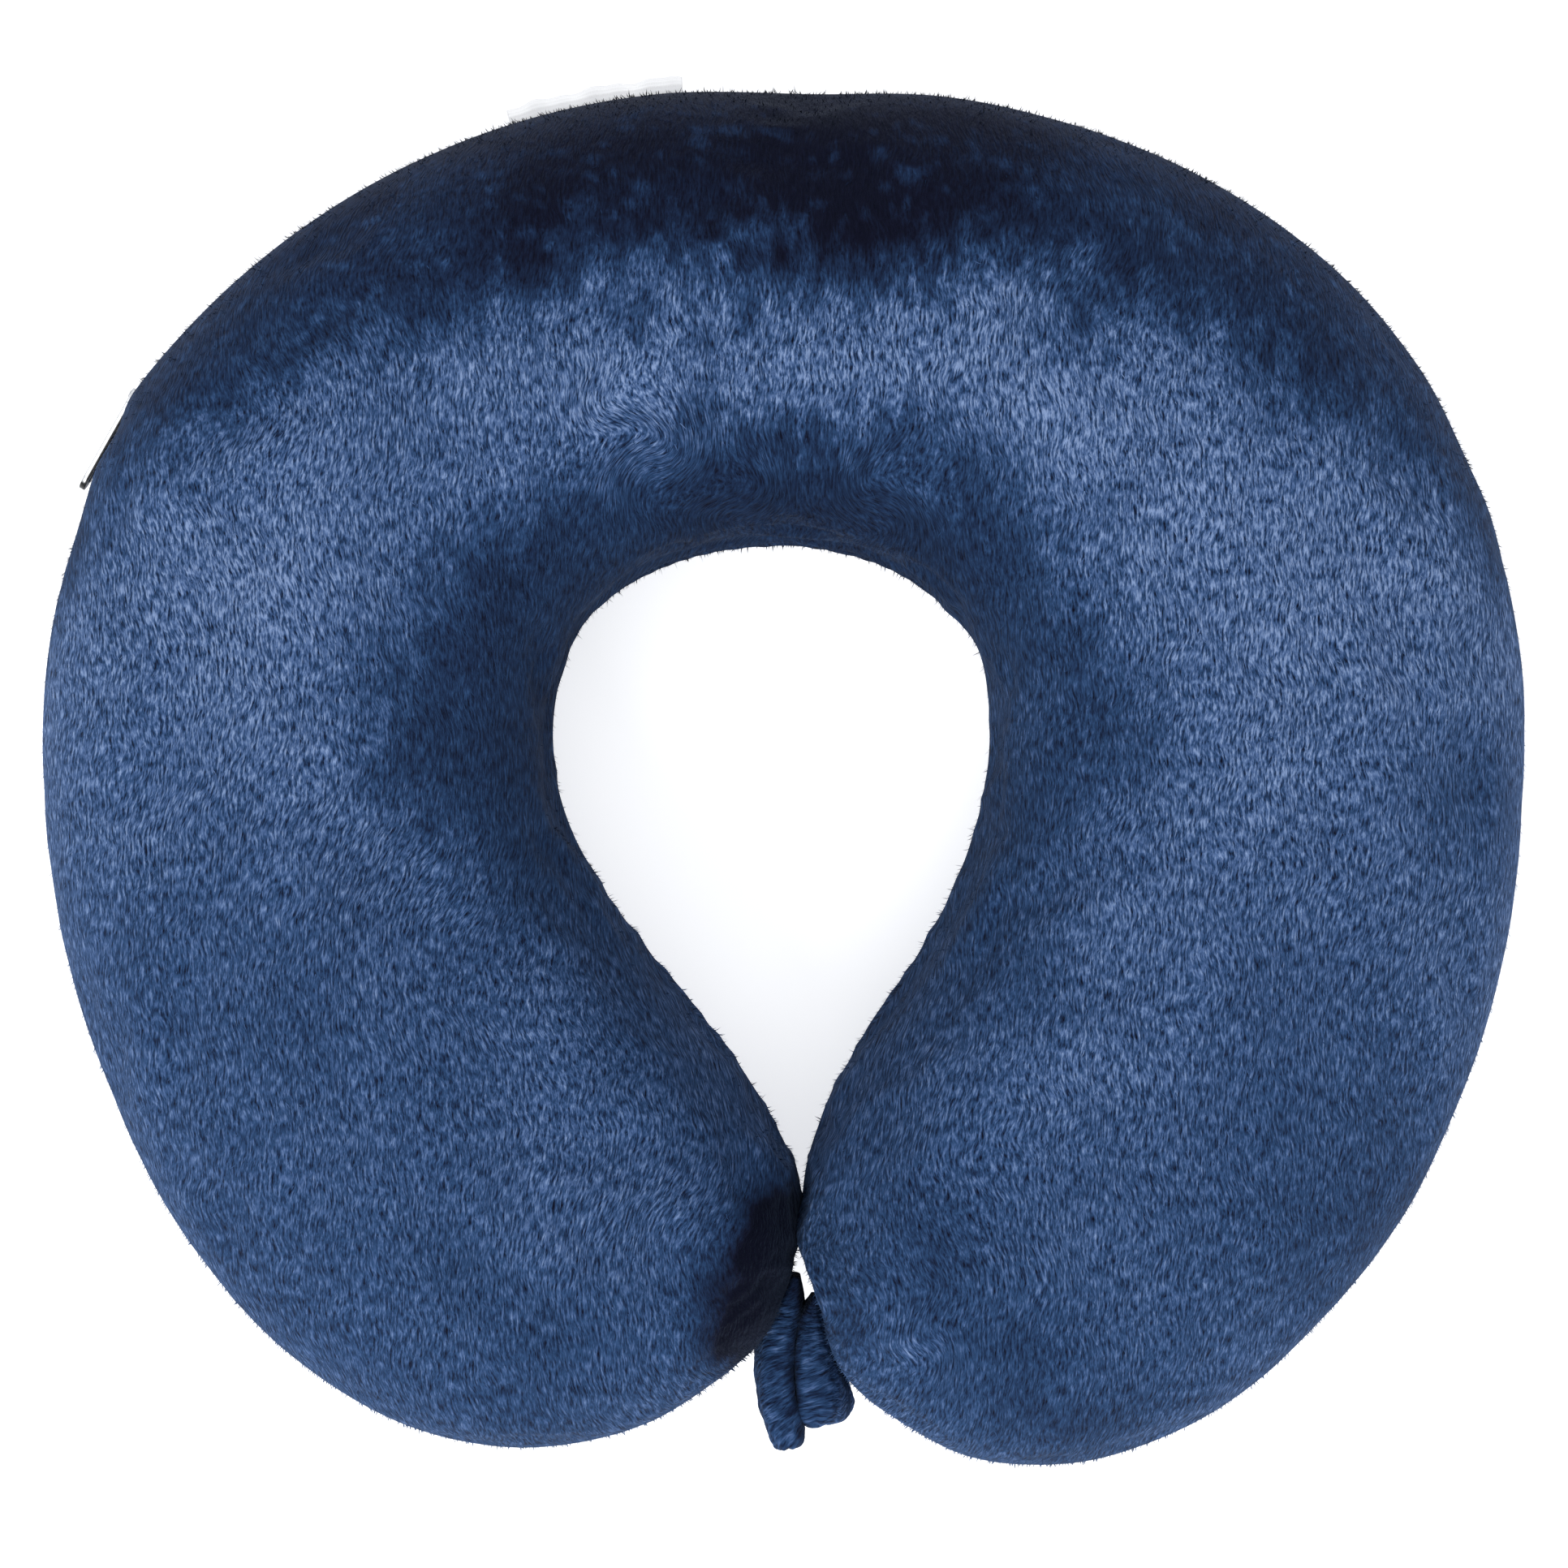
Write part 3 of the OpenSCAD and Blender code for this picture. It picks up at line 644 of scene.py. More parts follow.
def cover_panel(side, cloth, material):
    """The left and right halves of one panel of the plush cover."""
    rows, t, p, normal, fabric, across = panel_points(side, cloth)
    tone = tone_at(rows, t, p, side)
    plain, plain_fabric, plain_tone = p, fabric, tone
    p, fabric, tone = with_folds(p, across, fabric, tone, backed_by_tape(rows))
    count, columns = p.shape[:2]
    normals = vertex_normals(p.reshape(-1, 3), grid_faces(count, columns, side > 0)).reshape(p.shape)
    cut = split_by_side(p[:, 0], p[:, -1])
    word = "top" if side > 0 else "bottom"
    for label, first, last in (("left", 0, cut), ("right", cut, count - 1)):
        keep = slice(first, last + 1)
        n = last - first + 1
        points, faces, ways, shades, places = tufts(
            plain[keep], normal[keep], plain_tone[keep], plain_fabric[keep], n / count, first + TUFT_SEED)
        faces = grid_faces(n, columns, side > 0) + [tuple(v + n * columns for v in f) for f in faces]
        places = np.concatenate([fabric[keep].reshape(-1, 2), places]) * MM
        part = make_mesh(
            f"cover_{word}_{label}_plush", np.concatenate([p[keep].reshape(-1, 3), points]) * MM, faces,
            np.concatenate([normals[keep].reshape(-1, 3), ways]),
            {"tone": np.concatenate([tone[keep].ravel(), shades]),
             "loose": np.concatenate([np.zeros(tone[keep].size), np.ones(len(shades))])},
            {"fabric": np.concatenate([places, np.full((len(places), 1), 0.1 * side)], axis=1)}, material)
        soft_half(part, label, f"cover_{word}")


# ---- materials

class Shader:
    """A node material that is written one node at a time."""

    def __init__(self, name):
        self.material = bpy.data.materials.new(name)
        self.material.use_nodes = True
        self.nodes, self.links = self.material.node_tree.nodes, self.material.node_tree.links
        self.surface = self.nodes["Principled BSDF"]

    def add(self, kind, **settings):
        node = self.nodes.new(kind)
        for key, value in settings.items():
            setattr(node, key, value)
        return node

    def put(self, value, socket):
        if isinstance(value, bpy.types.NodeSocket):
            self.links.new(value, socket)
        else:
            socket.default_value = value

    def made(self, kind, output, inputs, **settings):
        """The output of a new node, whose inputs are values or other nodes' outputs."""
        node = self.add(kind, **settings)
        for key, value in inputs.items():
            self.put(value, node.inputs[key])
        return node.outputs[output]

    def math(self, operation, a, b=0.0, clamp=False):
        return self.made("ShaderNodeMath", 0, {0: a, 1: b}, operation=operation, use_clamp=clamp)

    def attribute(self, name, output="Fac"):
        return self.made("ShaderNodeAttribute", output, {}, attribute_name=name)

    def object_place(self):
        return self.made("ShaderNodeTexCoord", "Object", {})

    def noise(self, vector, scale, detail=2.0, roughness=0.5, output="Fac"):
        return self.made("ShaderNodeTexNoise", output,
                         {"Vector": vector, "Scale": scale, "Detail": detail, "Roughness": roughness})

    def stretched(self, vector, scale):
        return self.made("ShaderNodeMapping", "Vector", {"Vector": vector, "Scale": scale})

    def ranged(self, value, low, high, top=1.0):
        """0 where the value is low, and top where it is high."""
        return self.made("ShaderNodeMapRange", "Result",
                         {"Value": value, "From Min": low, "From Max": high, "To Max": top})

    def bump(self, height, distance, strength):
        return self.made("ShaderNodeBump", "Normal",
                         {"Height": height, "Distance": distance, "Strength": strength})

    def ramp(self, value, stops):
        node = self.add("ShaderNodeValToRGB")
        self.put(value, node.inputs["Fac"])
        elements = node.color_ramp.elements
        while len(elements) < len(stops):
            elements.new(0.5)
        for element, (place, colour) in zip(elements, stops):
            element.position = place
            element.color = (*colour, 1)
        return node.outputs["Color"]

    def finish(self, **sockets):
        for key, value in sockets.items():
            self.put(value, self.surface.inputs[key.replace("_", " ")])
        return self.material


NAVY_STOPS = [
    (0.0, (0.002, 0.0025, 0.008)),
    (0.06, (0.0046, 0.0056, 0.016)),
    (0.25, (0.012, 0.027, 0.07)),
    (0.44, (0.024, 0.059, 0.142)),
    (0.58, (0.053, 0.099, 0.22)),
    (0.72, (0.09, 0.152, 0.3)),
    (1.0, (0.21, 0.295, 0.49)),
]
LINER_STOPS = [(0.2, (0.62, 0.62, 0.60)), (0.9, (0.86, 0.86, 0.85))]
TAPE_STOPS = [(0.2, (0.006, 0.009, 0.022)), (0.9, (0.030, 0.042, 0.085))]
LABEL_STOPS = [(0.2, (0.93, 0.93, 0.92)), (0.8, (0.99, 0.99, 0.99))]
FOAM_STOPS = [(0.3, (0.72, 0.62, 0.42)), (0.7, (0.86, 0.80, 0.63))]
LINER_THREAD, TAPE_THREAD, LABEL_THREAD = 0.0007, 0.00045, 0.0003

# Strength of the strokes' painted shade and painted highlight, and how much more where the tone is lighter
STROKE_CONTRAST = (4.3, 1.4)
LOOSE_CONTRAST = 0.55
TONE_SCALE = 0.74
WANDER, WANDER_SCALE = (0.006, 0.003, 0), 55


def plush_material(name):
    """Short brushed pile: clumps of fibres that lie along the fabric, lighter where the tone is. The tone
    carries painted shade and painted highlight, and the strokes are painted darker in their hollows and
    lighter on their tops.
    """
    s = Shader(name)
    fabric = s.attribute("fabric", "Vector")
    tone = s.attribute("tone")
    drift = s.noise(fabric, WANDER_SCALE, output="Color")
    laid = s.made("ShaderNodeVectorMath", "Vector", {0: drift, 1: WANDER, 2: fabric},
                  operation="MULTIPLY_ADD")
    strokes = s.noise(s.stretched(laid, (2100, 420, 300)), 1.0, 1.5, 0.55)
    fine = s.noise(s.stretched(laid, (5200, 1300, 600)), 1.0, 1.0, 0.5)
    clumps = s.noise(s.stretched(laid, (620, 240, 200)), 1.0, 2.0, 0.5)
    mottle = s.noise(fabric, 95, 3.0, 0.6)
    height = s.math("ADD", s.math("MULTIPLY", strokes, 0.60), s.math("MULTIPLY", fine, 0.20))
    height = s.math("ADD", height, s.math("MULTIPLY", clumps, 0.20))
    strength = s.math("ADD", STROKE_CONTRAST[0], s.math("MULTIPLY", tone, STROKE_CONTRAST[1]))
    calmer = s.math("MULTIPLY", s.attribute("loose"), LOOSE_CONTRAST)
    strength = s.math("MULTIPLY", strength, s.math("SUBTRACT", 1.0, calmer))
    # Painted shade in the strokes' hollows and a painted highlight on their tops
    stroke_shade = s.math("MULTIPLY", s.math("SUBTRACT", height, 0.5), strength)
    patches = s.math("MULTIPLY", s.math("SUBTRACT", mottle, 0.5), 0.36)
    lively = s.math("ADD", 1.0, s.math("ADD", stroke_shade, patches))
    light = s.math("MULTIPLY", s.math("MULTIPLY", tone, TONE_SCALE), lively, clamp=True)
    return s.finish(Base_Color=s.ramp(light, NAVY_STOPS), Roughness=0.88, Normal=s.bump(height, 0.0014, 0.9),
                    Sheen_Weight=0.05, Sheen_Roughness=0.45, Sheen_Tint=(0.40, 0.58, 0.95, 1),
                    Specular_IOR_Level=0.05)


# A wave texture has this many bands for each unit of its scale.
WAVE_BANDS = 20


def fabric_weave(name, stops, thread, laid=True, roughness=0.75, sheen=0.1, bump=0.00012):
    """Woven cloth: two sets of threads that pass over each other, with small changes of colour."""
    s = Shader(name)
    place = s.attribute("fabric", "Vector") if laid else s.object_place()
    bands = {"Vector": place, "Scale": TURN / (WAVE_BANDS * thread), "Distortion": 0.6}
    warp, weft = (s.made("ShaderNodeTexWave", "Fac", bands, wave_type="BANDS", bands_direction=way)
                  for way in ("X", "Y" if laid else "Z"))
    threads = s.math("MAXIMUM", warp, weft)
    soiled = s.noise(place, 180, 3.0)
    light = s.math("ADD", s.math("MULTIPLY", threads, 0.55), s.math("MULTIPLY", soiled, 0.45), clamp=True)
    return s.finish(Base_Color=s.ramp(light, stops), Roughness=roughness, Sheen_Weight=sheen,
                    Normal=s.bump(threads, bump, 0.8))


def foam_material():
    """Cut memory foam: fine open cells with a few larger ones, cream with slightly yellowed patches."""
    s = Shader("memory_foam")
    place = s.object_place()
    cells = s.made("ShaderNodeTexVoronoi", "Distance", {"Vector": place, "Scale": 900})
    aged = s.noise(place, 30, 3.0)
    return s.finish(Base_Color=s.ramp(aged, FOAM_STOPS), Roughness=0.95,
                    Normal=s.bump(cells, 0.0005, 0.7))


def metal_material(name, colour, roughness):
    """Bright plated metal, finely brushed, with duller worn spots."""
    s = Shader(name)
    place = s.object_place()
    brushed = s.noise(s.stretched(place, (900, 900, 9000)), 1.0, 2.0)
    worn = s.noise(place, 700, 3.0, 0.6)
    dull = tuple(0.72 * c for c in colour)
    rough = s.math("ADD", roughness, s.math("MULTIPLY", worn, 0.16))
    return s.finish(Base_Color=s.ramp(worn, [(0.35, dull), (0.6, colour)]), Metallic=1.0, Roughness=rough,
                    Normal=s.bump(brushed, 0.00003, 0.6))


# The way from the pull's face to its back, its pin's place, and where its back, end and face begin, which
# place the pull's painted shade.
PULL_WAY = (0.870, -0.492, 0.0)
PULL_PIN = (-0.13206, 0.07559, 0.049)
PULL_BACK = (0.00005, 0.00020)
PULL_END = (0.0204, 0.0210)
PULL_FACE = (-0.00036, -0.00050)
PULL_FACE_SHADE = 0.5


def pull_material(colour):
    """The plated pull: bright where it has no painted shade, with painted shade on the side that faces the
    cover and at its free end, and dimmed by painted shade on its outer face.
    """
    s = Shader("zip_pull_steel")
    place = s.object_place()
    from_pin = s.made("ShaderNodeVectorMath", "Vector", {0: place, 1: PULL_PIN}, operation="SUBTRACT")
    inwards = s.made("ShaderNodeVectorMath", "Value", {0: from_pin, 1: PULL_WAY}, operation="DOT_PRODUCT")
    away = s.made("ShaderNodeVectorMath", "Value", {0: place, 1: PULL_PIN}, operation="DISTANCE")
    back, end = s.ranged(inwards, *PULL_BACK), s.ranged(away, *PULL_END)
    face = s.ranged(inwards, *PULL_FACE, top=PULL_FACE_SHADE)
    # Painted shade on the back towards the cover, at the free end, and on the outer face
    pull_shade = s.math("MAXIMUM", s.math("MAXIMUM", back, end, clamp=True), face)
    scratched = s.noise(s.stretched(place, (900, 900, 9000)), 1.0, 2.0)
    light = s.math("SUBTRACT", s.math("ADD", 0.85, s.math("MULTIPLY", scratched, 0.3)), pull_shade, clamp=True)
    dark = tuple(0.04 * c for c in colour)
    rough = s.math("ADD", 0.24, s.math("MULTIPLY", scratched, 0.12))
    return s.finish(Base_Color=s.ramp(light, [(0.1, dark), (0.8, colour)]), Metallic=1.0, Roughness=rough,
                    Normal=s.bump(scratched, 0.00003, 0.6))


def plastic_material(name, dark, light):
    """Moulded plastic with a fine grain and rubbed edges."""
    s = Shader(name)
    place = s.object_place()
    grain = s.noise(place, 5200, 2.0)
    cloudy = s.noise(place, 420, 3.0)
    return s.finish(Base_Color=s.ramp(cloudy, [(0.3, dark), (0.75, light)]), Roughness=0.38,
                    Normal=s.bump(grain, 0.00004, 0.5), Specular_IOR_Level=0.5)


# ---- foam and liner inside the cover

FOAM_DEPTH = 6.4
LINER_DEPTH = 5.4
INNER_PATH_COUNT = 170
INNER_AROUND_COUNT = 72
INNER_ROW_STEP = 3.7
INNER_RADIUS = 50
THIN_SHARE = 0.3


def inner_shell(nodes, depth, material):
    """The left and right halves of a closed layer at this depth below the cover's outer surface."""
    rows = even_rows(INNER_PATH_COUNT)[2:-2]
    t = np.tile(np.linspace(0, TURN, INNER_AROUND_COUNT, endpoint=False), (len(rows), 1))
    wide = np.linalg.norm(rows[:, :2] - rows[:, 2:4], axis=1)
    thin = np.minimum(depth, np.minimum(wide, 2 * (HALF_H - rows[:, 4])) * THIN_SHARE)
    p = section(rows, t)
    p = p + ring_normals(p) * thin[:, None, None]
    p[..., 2] = np.maximum(p[..., 2], depth)
    along_path = np.broadcast_to(np.arange(len(rows))[:, None] * INNER_ROW_STEP, t.shape)
    fabric = np.stack([along_path, t * INNER_RADIUS, 0 * t], axis=-1) * MM
    cut = split_by_side(rows[:, :2], rows[:, 2:4])
    for label, first, last in (("left", 0, cut), ("right", cut, len(rows) - 1)):
        count = last - first + 1
        faces = ring_faces(count, INNER_AROUND_COUNT) + end_caps(count, INNER_AROUND_COUNT)
        part = make_mesh(f"{nodes}_{label}_half", p[first:last + 1].reshape(-1, 3) * MM, faces,
                         vectors={"fabric": fabric[first:last + 1].reshape(-1, 3)}, material=material)
        soft_half(part, label, nodes)


# ---- zip

COIL_FROM, COIL_TO = 85.9, 145.0
COIL_PITCH = 1.25
COIL_WIRE_R = 0.3
COIL_MIDDLE = (0.65, 1.55)
COIL_HALF = (0.36, 0.72)
COIL_POINTS = 12
STITCH_PITCH = 2.4
STITCH_HEIGHT = 3.3
STITCH_LIFT = 0.14
STITCH_R = 0.13
STITCH_SPAN = np.linspace(-1, 1, 7)


def on_zip(angle, r, z):
    """A point at this angle of the zip's arc, this far from its centre and this high over the seam."""
    a = np.radians(angle)
    x, y = ZIP_CENTRE
    return np.stack([x + r * np.cos(a), y + r * np.sin(a), EQUATOR + z + 0 * a], axis=-1)


def tube(centres, radius, sides=6):
    """Points and faces of a round tube along a line of points."""
    ahead = unit(np.gradient(centres, axis=0))
    guide = np.where(np.abs(ahead[:, 2:3]) > 0.9, [[1.0, 0, 0]], [[0, 0, 1.0]])
    side = unit(np.cross(ahead, guide))
    up = np.cross(side, ahead)
    a = np.linspace(0, TURN, sides, endpoint=False)[None, :, None]
    radius = np.broadcast_to(np.asarray(radius, float), (len(centres),))[:, None, None]
    p = centres[:, None] + radius * (np.cos(a) * side[:, None] + np.sin(a) * up[:, None])
    return p.reshape(-1, 3), ring_faces(len(centres), sides)


def joined(parts):
    """Several (points, faces) as one."""
    points, faces, base = [], [], 0
    for p, f in parts:
        points.append(p)
        faces += [tuple(v + base for v in face) for face in f]
        base += len(p)
    return np.concatenate(points), faces


def zip_coil(side, word, material):
    """One nylon coil: a flattened helix whose heads point at the other coil."""
    step = math.degrees(COIL_PITCH / (ZIP_R - TAPE_DEPTH))
    turns = int((COIL_TO - COIL_FROM) / step) - 1
    k = np.linspace(0, turns, turns * COIL_POINTS + 1)
    angle = COIL_FROM + step * (k + (0.75 if side > 0 else 0.25))
    r = ZIP_R - TAPE_DEPTH + COIL_MIDDLE[0] + COIL_HALF[0] * np.sin(TURN * k)
    z = side * (COIL_MIDDLE[1] - COIL_HALF[1] * np.cos(TURN * k))
    head = COIL_WIRE_R * (1 + 0.25 * np.clip(np.cos(TURN * k), 0, 1) ** 6)
    points, faces = tube(on_zip(angle, r, z), head)
    coil = make_mesh(f"zip_coil_{word}_teeth", points * MM, faces, material=material)
    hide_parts(f"zip_coil_{word}")
    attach(coil, "back")


def zip_stitches(side, word, material):
    """A row of stitches that holds the coil to its tape."""
    step = math.degrees(STITCH_PITCH / ZIP_R)
    rows = []
    for angle in np.arange(COIL_FROM + step, COIL_TO - step, step):
        a = angle + step * 0.36 * STITCH_SPAN
        lift = STITCH_LIFT * np.sqrt(np.clip(1 - STITCH_SPAN**2, 0, 1))
        rows.append(tube(on_zip(a, ZIP_R - TAPE_DEPTH + lift, side * STITCH_HEIGHT), STITCH_R, 5))
    points, faces = joined(rows)
    thread = make_mesh(f"zip_stitches_{word}", points * MM, faces, material=material)
    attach(thread, "back")


WELD_DISTANCE = 0.000005


def finish_cad(node, material, bevel=0.0):
    """A CAD node keeps its shape, gets its material, and has its edges rounded a little."""
    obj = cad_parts[node]
    obj.data.materials.clear()
    obj.data.materials.append(material)
    if bevel:
        weld = obj.modifiers.new("weld", "WELD")
        weld.merge_threshold = WELD_DISTANCE
        edge = obj.modifiers.new("edge", "BEVEL")
        edge.width = bevel
        edge.segments = 3
        edge.limit_method = "ANGLE"
        edge.harden_normals = True


# ---- care label

LABEL_FROM, LABEL_TO = 94.0, 107.5
LABEL_LINE = [(-4.2, -5.05), (-1.5, -5.1), (1.0, -5.3), (2.6, -6.3), (3.6, -7.6), (4.4, -8.9)]
LABEL_T = 0.3


def care_label(material):
    """Blank satin label that hangs out over the lower lip, slightly wavy along its free edge."""
    line = np.array(LABEL_LINE)
    fine = np.linspace(0, len(line) - 1, 26)
    profile = np.stack([np.interp(fine, range(len(line)), line[:, k]) for k in (0, 1)], axis=1)
    smoothed(profile)
    angles = np.linspace(LABEL_FROM, LABEL_TO, 90)
    free = smoothstep(0.35, 1, fine / fine[-1])[None]
    wave = 0.35 * (np.sin(angles * 1.3) + 0.6 * np.sin(angles * 2.9 + 1))[:, None] * free
    turn = unit(np.gradient(profile, axis=0))
    sheets = []
    for shift in (0, LABEL_T):
        r = ZIP_R + profile[None, :, 0] + turn[None, :, 1] * (shift + wave)
        z = profile[None, :, 1] - turn[None, :, 0] * (shift + wave)
        sheets.append(on_zip(np.broadcast_to(angles[:, None], r.shape), r, z).reshape(-1, 3))
    n, m = len(angles), len(profile)
    top = grid_faces(n, m, False)
    under = [tuple(v + n * m for v in reversed(f)) for f in top]
    rim = ([i * m for i in range(n)] + [(n - 1) * m + j for j in range(1, m)]
           + [i * m + m - 1 for i in range(n - 2, -1, -1)] + list(range(m - 2, 0, -1)))
    edge = [(a, b, b + n * m, a + n * m) for a, b in zip(rim, rim[1:] + rim[:1])]
    u, v = np.meshgrid(angles * math.radians(1) * ZIP_R, fine * 0.4, indexing="ij")
    place = np.stack([u, v, 0 * u], axis=-1).reshape(-1, 3) * MM
    label = make_mesh("care_label_satin", np.concatenate(sheets) * MM, top + under + edge,
                      vectors={"fabric": np.concatenate([place, place])}, material=material)
    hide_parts("care_label")
    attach(label, "back")


# ---- closure tabs

# Each strap from its seam to its free end, in millimetres: x, y and half its thickness there.
LEFT_STRAP = [
    (2.4, -103.4, 1.0), (2.0, -106.0, 2.1), (1.1, -109.0, 2.9), (0.1, -112.0, 3.2), (-1.0, -115.5, 3.6),
    (-1.85, -119, 3.95), (-2.0, -122, 4.1), (-1.45, -126, 4.1), (-0.65, -130, 4.0), (0.3, -134.2, 3.8),
    (1.0, -138.6, 3.4)]
RIGHT_STRAP = [
    (6.3, -107.6, 0.9), (5.8, -110.0, 2.0), (5.4, -114, 3.0), (5.7, -118, 3.7), (6.5, -122, 4.3),
    (7.7, -126, 4.9), (8.5, -130, 4.9), (8.8, -133.6, 4.0)]
STRAP_HALF_W = 10.0
STRAP_ROUND = 7.0
STRAP_ROWS = 110
STRAP_AROUND = 96
STRAP_SMOOTHING = 60
SNAP_AT = 9.4
SNAP_DENT = 1.5
SNAP_REACH = 6
HINGE_Y = 118.5
# Depth, size and seed of each layer of wrinkles.
STRAP_WRINKLES = [(0.45, 5, 21), (0.30, 2.2, 22), (0.14, 0.9, 23)]
STRAP_SEAM_DEPTH, STRAP_SEAM_WIDTH = 0.5, 0.16
STRAP_FABRIC_SCALE = 0.7


def strap_surface(line, spans, twist):
    """The plain strap: distances along it, ways sideways, angles and thickness round it, heights, points."""
    length = spans[-1]
    s = length * (1 - (1 - np.linspace(0, 1, STRAP_ROWS)) ** 1.25)
    path = smoothed(np.stack([np.interp(s, spans, line[:, k]) for k in range(3)], axis=1), STRAP_SMOOTHING)
    ahead = unit(np.gradient(path[:, :2], axis=0))
    side = np.stack([-ahead[:, 1], ahead[:, 0], 0 * s], axis=1)
    ending = (1 - np.clip((s - (length - STRAP_ROUND)) / STRAP_ROUND, 0, 1) ** 3) ** (1 / 3)
    half_w = STRAP_HALF_W * (0.88 + 0.12 * smoothstep(4, 14, s)) * (1 - 0.38 * (1 - ending))
    half_t = path[:, 2] * (0.12 + 0.88 * np.sqrt(np.clip(ending, 0, 1)))
    a = np.linspace(0, TURN, STRAP_AROUND, endpoint=False)
    thick = np.abs(np.cos(a)) ** 0.8 * np.sign(np.cos(a))
    wide = np.abs(np.sin(a)) ** 0.55 * np.sign(np.sin(a))
    tilt = np.radians(twist) * smoothstep(8, length, s)
    c, d = np.cos(tilt)[:, None], np.sin(tilt)[:, None]
    across, up = half_t[:, None] * thick[None], half_w[:, None] * wide[None]
    p = np.concatenate([path[:, :2], np.full((len(s), 1), EQUATOR)], axis=1)[:, None]
    p = p + side[:, None] * (across * c + up * d)[..., None]
    return s, side, a, thick, up, p + np.array([0, 0, 1.0]) * (up * c - across * d)[..., None]


def strap_fabric(p, s, lean):
    """Fabric coordinates along and round a strap, with the pile at a slant."""
    slant = math.radians(lean)
    steps = np.linalg.norm(np.diff(p, axis=1, prepend=p[:, -1:]), axis=-1).mean(axis=0)
    ahead, around = s[:, None], np.cumsum(steps)[None]
    return np.stack([ahead * math.cos(slant) - around * math.sin(slant),
                     ahead * math.sin(slant) + around * math.cos(slant), 0 * p[..., 0]], axis=-1)


def strap(name, line, twist, lean, snap, tab, material):
    """A soft strap of two plies with pile on both sides: full in its middle, thin where it is sewn in."""
    line = np.array(line, float)
    spans = np.concatenate([[0], np.cumsum(np.hypot(*np.diff(line[:, :2], axis=0).T))])
    s, side, a, thick, up, p = strap_surface(line, spans, twist)
    normal = ring_normals(p)
    outside = np.sum(normal * (p - p.mean(axis=1, keepdims=True)), axis=(1, 2))
    normal = normal * np.sign(outside)[:, None, None]
    wrinkles = sum(depth * value_noise(p, size, seed) for depth, size, seed in STRAP_WRINKLES)
    seam = np.exp(-((np.abs(np.cos(a)) / STRAP_SEAM_WIDTH) ** 2))[None] * STRAP_SEAM_DEPTH
    p = p + normal * ((wrinkles - seam) * smoothstep(0, 4, s)[:, None])[..., None]
    inner_face = np.clip(thick * snap, 0, 1)[None]
    near = np.exp(-((((s - snap_place(line, spans))[:, None]) ** 2 + up**2) / SNAP_REACH**2) ** 2)
    p = p - side[:, None] * (snap * inner_face * near * SNAP_DENT)[..., None]
    # Painted shadow at the strap's root under the pillow's tip, and painted shade on the face that turns
    # towards the other strap
    facing_shade = smoothstep(0.35, 0.95, thick * snap)[None]
    tone = 0.50 + 0.14 * value_noise(p, 4, 31) - 0.30 * np.exp(-((s[:, None] - 1) / 5) ** 2) - 0.26 * facing_shade
    faces = ring_faces(*p.shape[:2]) + end_caps(*p.shape[:2])
    inside_out = np.sum((normal * np.cross(np.gradient(p, axis=0), np.gradient(p, axis=1)))[5:-5]) > 0
    obj = make_mesh(name, p.reshape(-1, 3) * MM, faces if inside_out else [f[::-1] for f in faces],
                    floats={"tone": tone}, material=material,
                    vectors={"fabric": strap_fabric(p, s, lean) * MM * STRAP_FABRIC_SCALE})
    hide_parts(tab, f"{tab}_root")
    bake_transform(obj)


def snap_place(line, spans):
    """How far along a strap its snap is: a fixed distance past the hinge's height."""
    return np.interp(SNAP_AT, np.abs(line[:, 1]) - HINGE_Y, spans)


# ---- camera, light and floor

FRAME_WIDTH = 0.319
VIEW_HEIGHT = 1.5
VIEW_CENTRE = (0.0, -0.0036)
SENSOR_MM = 36
LIGHTS_AIM = Vector((0, 0, 0.05))
FLOOR_SIZE = 6.0
FLOOR_GLOW = 0.6


def make_camera():
    data = bpy.data.cameras.new("camera")
    distance = VIEW_HEIGHT - EQUATOR * MM
    data.sensor_width = SENSOR_MM
    data.lens = SENSOR_MM * distance / FRAME_WIDTH
    camera = linked("camera", data)
    camera.location = (*VIEW_CENTRE, VIEW_HEIGHT)
    bpy.context.scene.camera = camera


def area_light(name, place, size, power):
    data = bpy.data.lights.new(name, "AREA")
    data.shape = "DISK"
    data.size = size
    data.energy = power
    lamp = linked(name, data)
    lamp.location = place
    lamp.rotation_euler = (LIGHTS_AIM - Vector(place)).to_track_quat("-Z", "Y").to_euler()


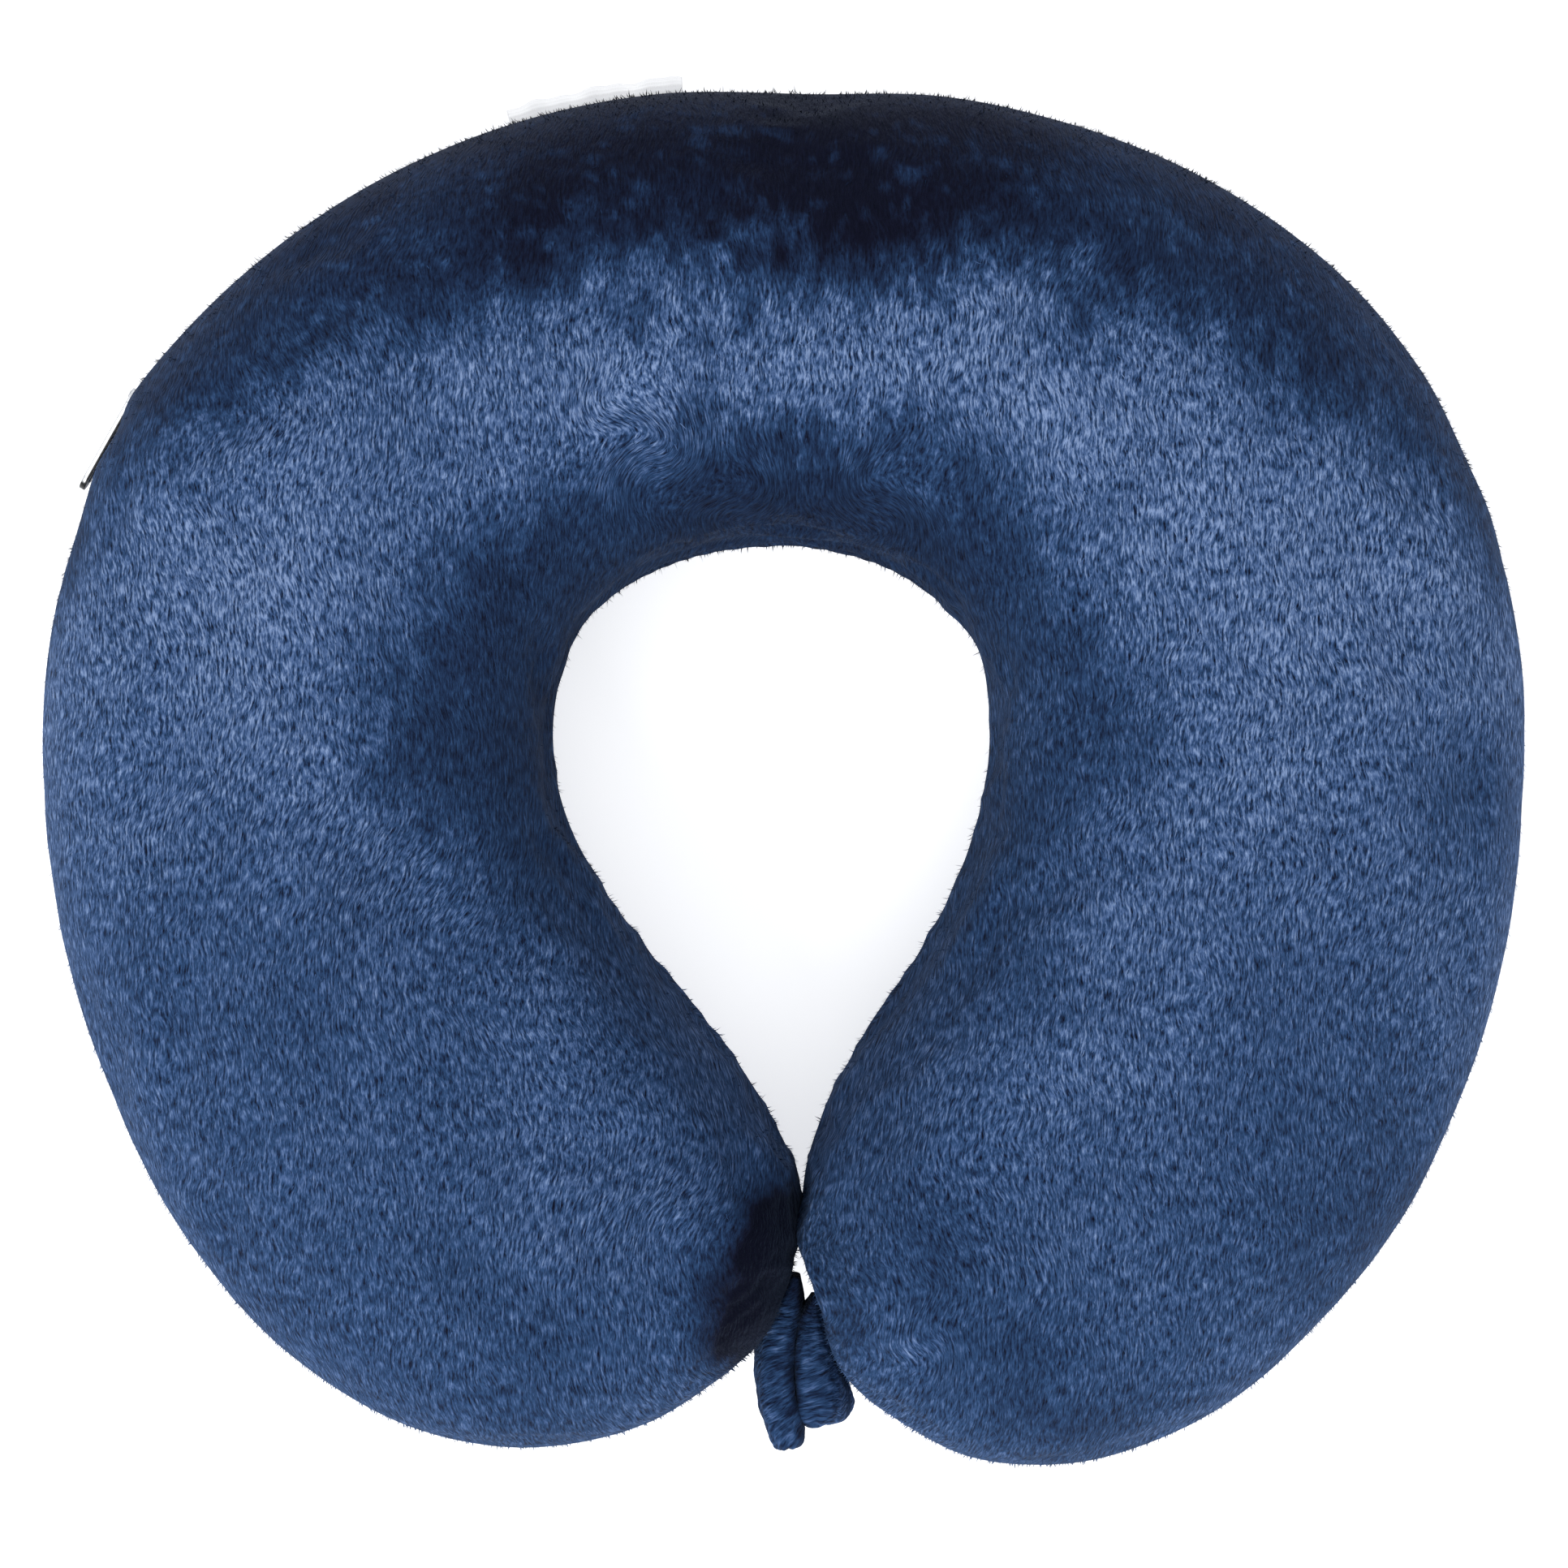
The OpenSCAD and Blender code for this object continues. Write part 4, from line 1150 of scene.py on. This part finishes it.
def make_studio():
    scene = bpy.context.scene
    scene.view_settings.view_transform = "Standard"
    world = bpy.data.worlds.new("studio")
    world.use_nodes = True
    world.node_tree.nodes["Background"].inputs["Color"].default_value = (0.93, 0.95, 1.0, 1)
    world.node_tree.nodes["Background"].inputs["Strength"].default_value = 0.72
    scene.world = world
    area_light("key", (-0.45, -0.95, 1.25), 0.9, 12)
    area_light("overhead", (0.1, 0.0, 1.9), 1.6, 9)


def make_floor():
    half = FLOOR_SIZE / 2
    corners = [(-half, -half, 0), (half, -half, 0), (half, half, 0), (-half, half, 0)]
    material = Shader("studio_floor").finish(
        Base_Color=(0.93, 0.93, 0.93, 1), Roughness=0.9, Specular_IOR_Level=0.1,
        Emission_Color=(1, 1, 1, 1), Emission_Strength=FLOOR_GLOW)
    make_mesh("floor", corners, [(0, 1, 2, 3)], material=material)


make_camera()
make_studio()
make_floor()

plush = plush_material("navy_plush")
cloth = settled()
cover_panel(1, cloth, plush)
cover_panel(-1, cloth, plush)
inner_shell("foam_core", FOAM_DEPTH, foam_material())
inner_shell("liner", LINER_DEPTH, fabric_weave("knit_liner", LINER_STOPS, LINER_THREAD))

tape = fabric_weave("zip_tape_twill", TAPE_STOPS, TAPE_THREAD, laid=False, roughness=0.8)
coil = plastic_material("zip_coil_nylon", (0.010, 0.014, 0.030), (0.022, 0.030, 0.058))
steel = metal_material("zip_steel", (0.56, 0.57, 0.59), 0.24)
for side, word in ((1, "upper"), (-1, "lower")):
    finish_cad(f"zip_tape_{word}", tape)
    zip_coil(side, word, coil)
    zip_stitches(side, word, tape)
finish_cad("zip_slider", steel, 0.00022)
finish_cad("zip_pull", pull_material((0.80, 0.81, 0.82)), 0.00036)
finish_cad("zip_top_stops", steel, 0.00015)
finish_cad("zip_bottom_stop", steel, 0.00015)
care_label(fabric_weave("label_satin_weave", LABEL_STOPS, LABEL_THREAD, roughness=0.45, sheen=0.2,
                        bump=0.00005))

strap("left_tab_plush", LEFT_STRAP, 0, 28, 1, "left_tab", plush)
strap("right_tab_plush", RIGHT_STRAP, -16, 8, -1, "right_tab", plush)
snap = plastic_material("snap_plastic_navy", (0.006, 0.009, 0.022), (0.016, 0.022, 0.045))
for node in ("snap_stud", "snap_stud_cap", "snap_socket", "snap_socket_cap"):
    finish_cad(node, snap, 0.00015)
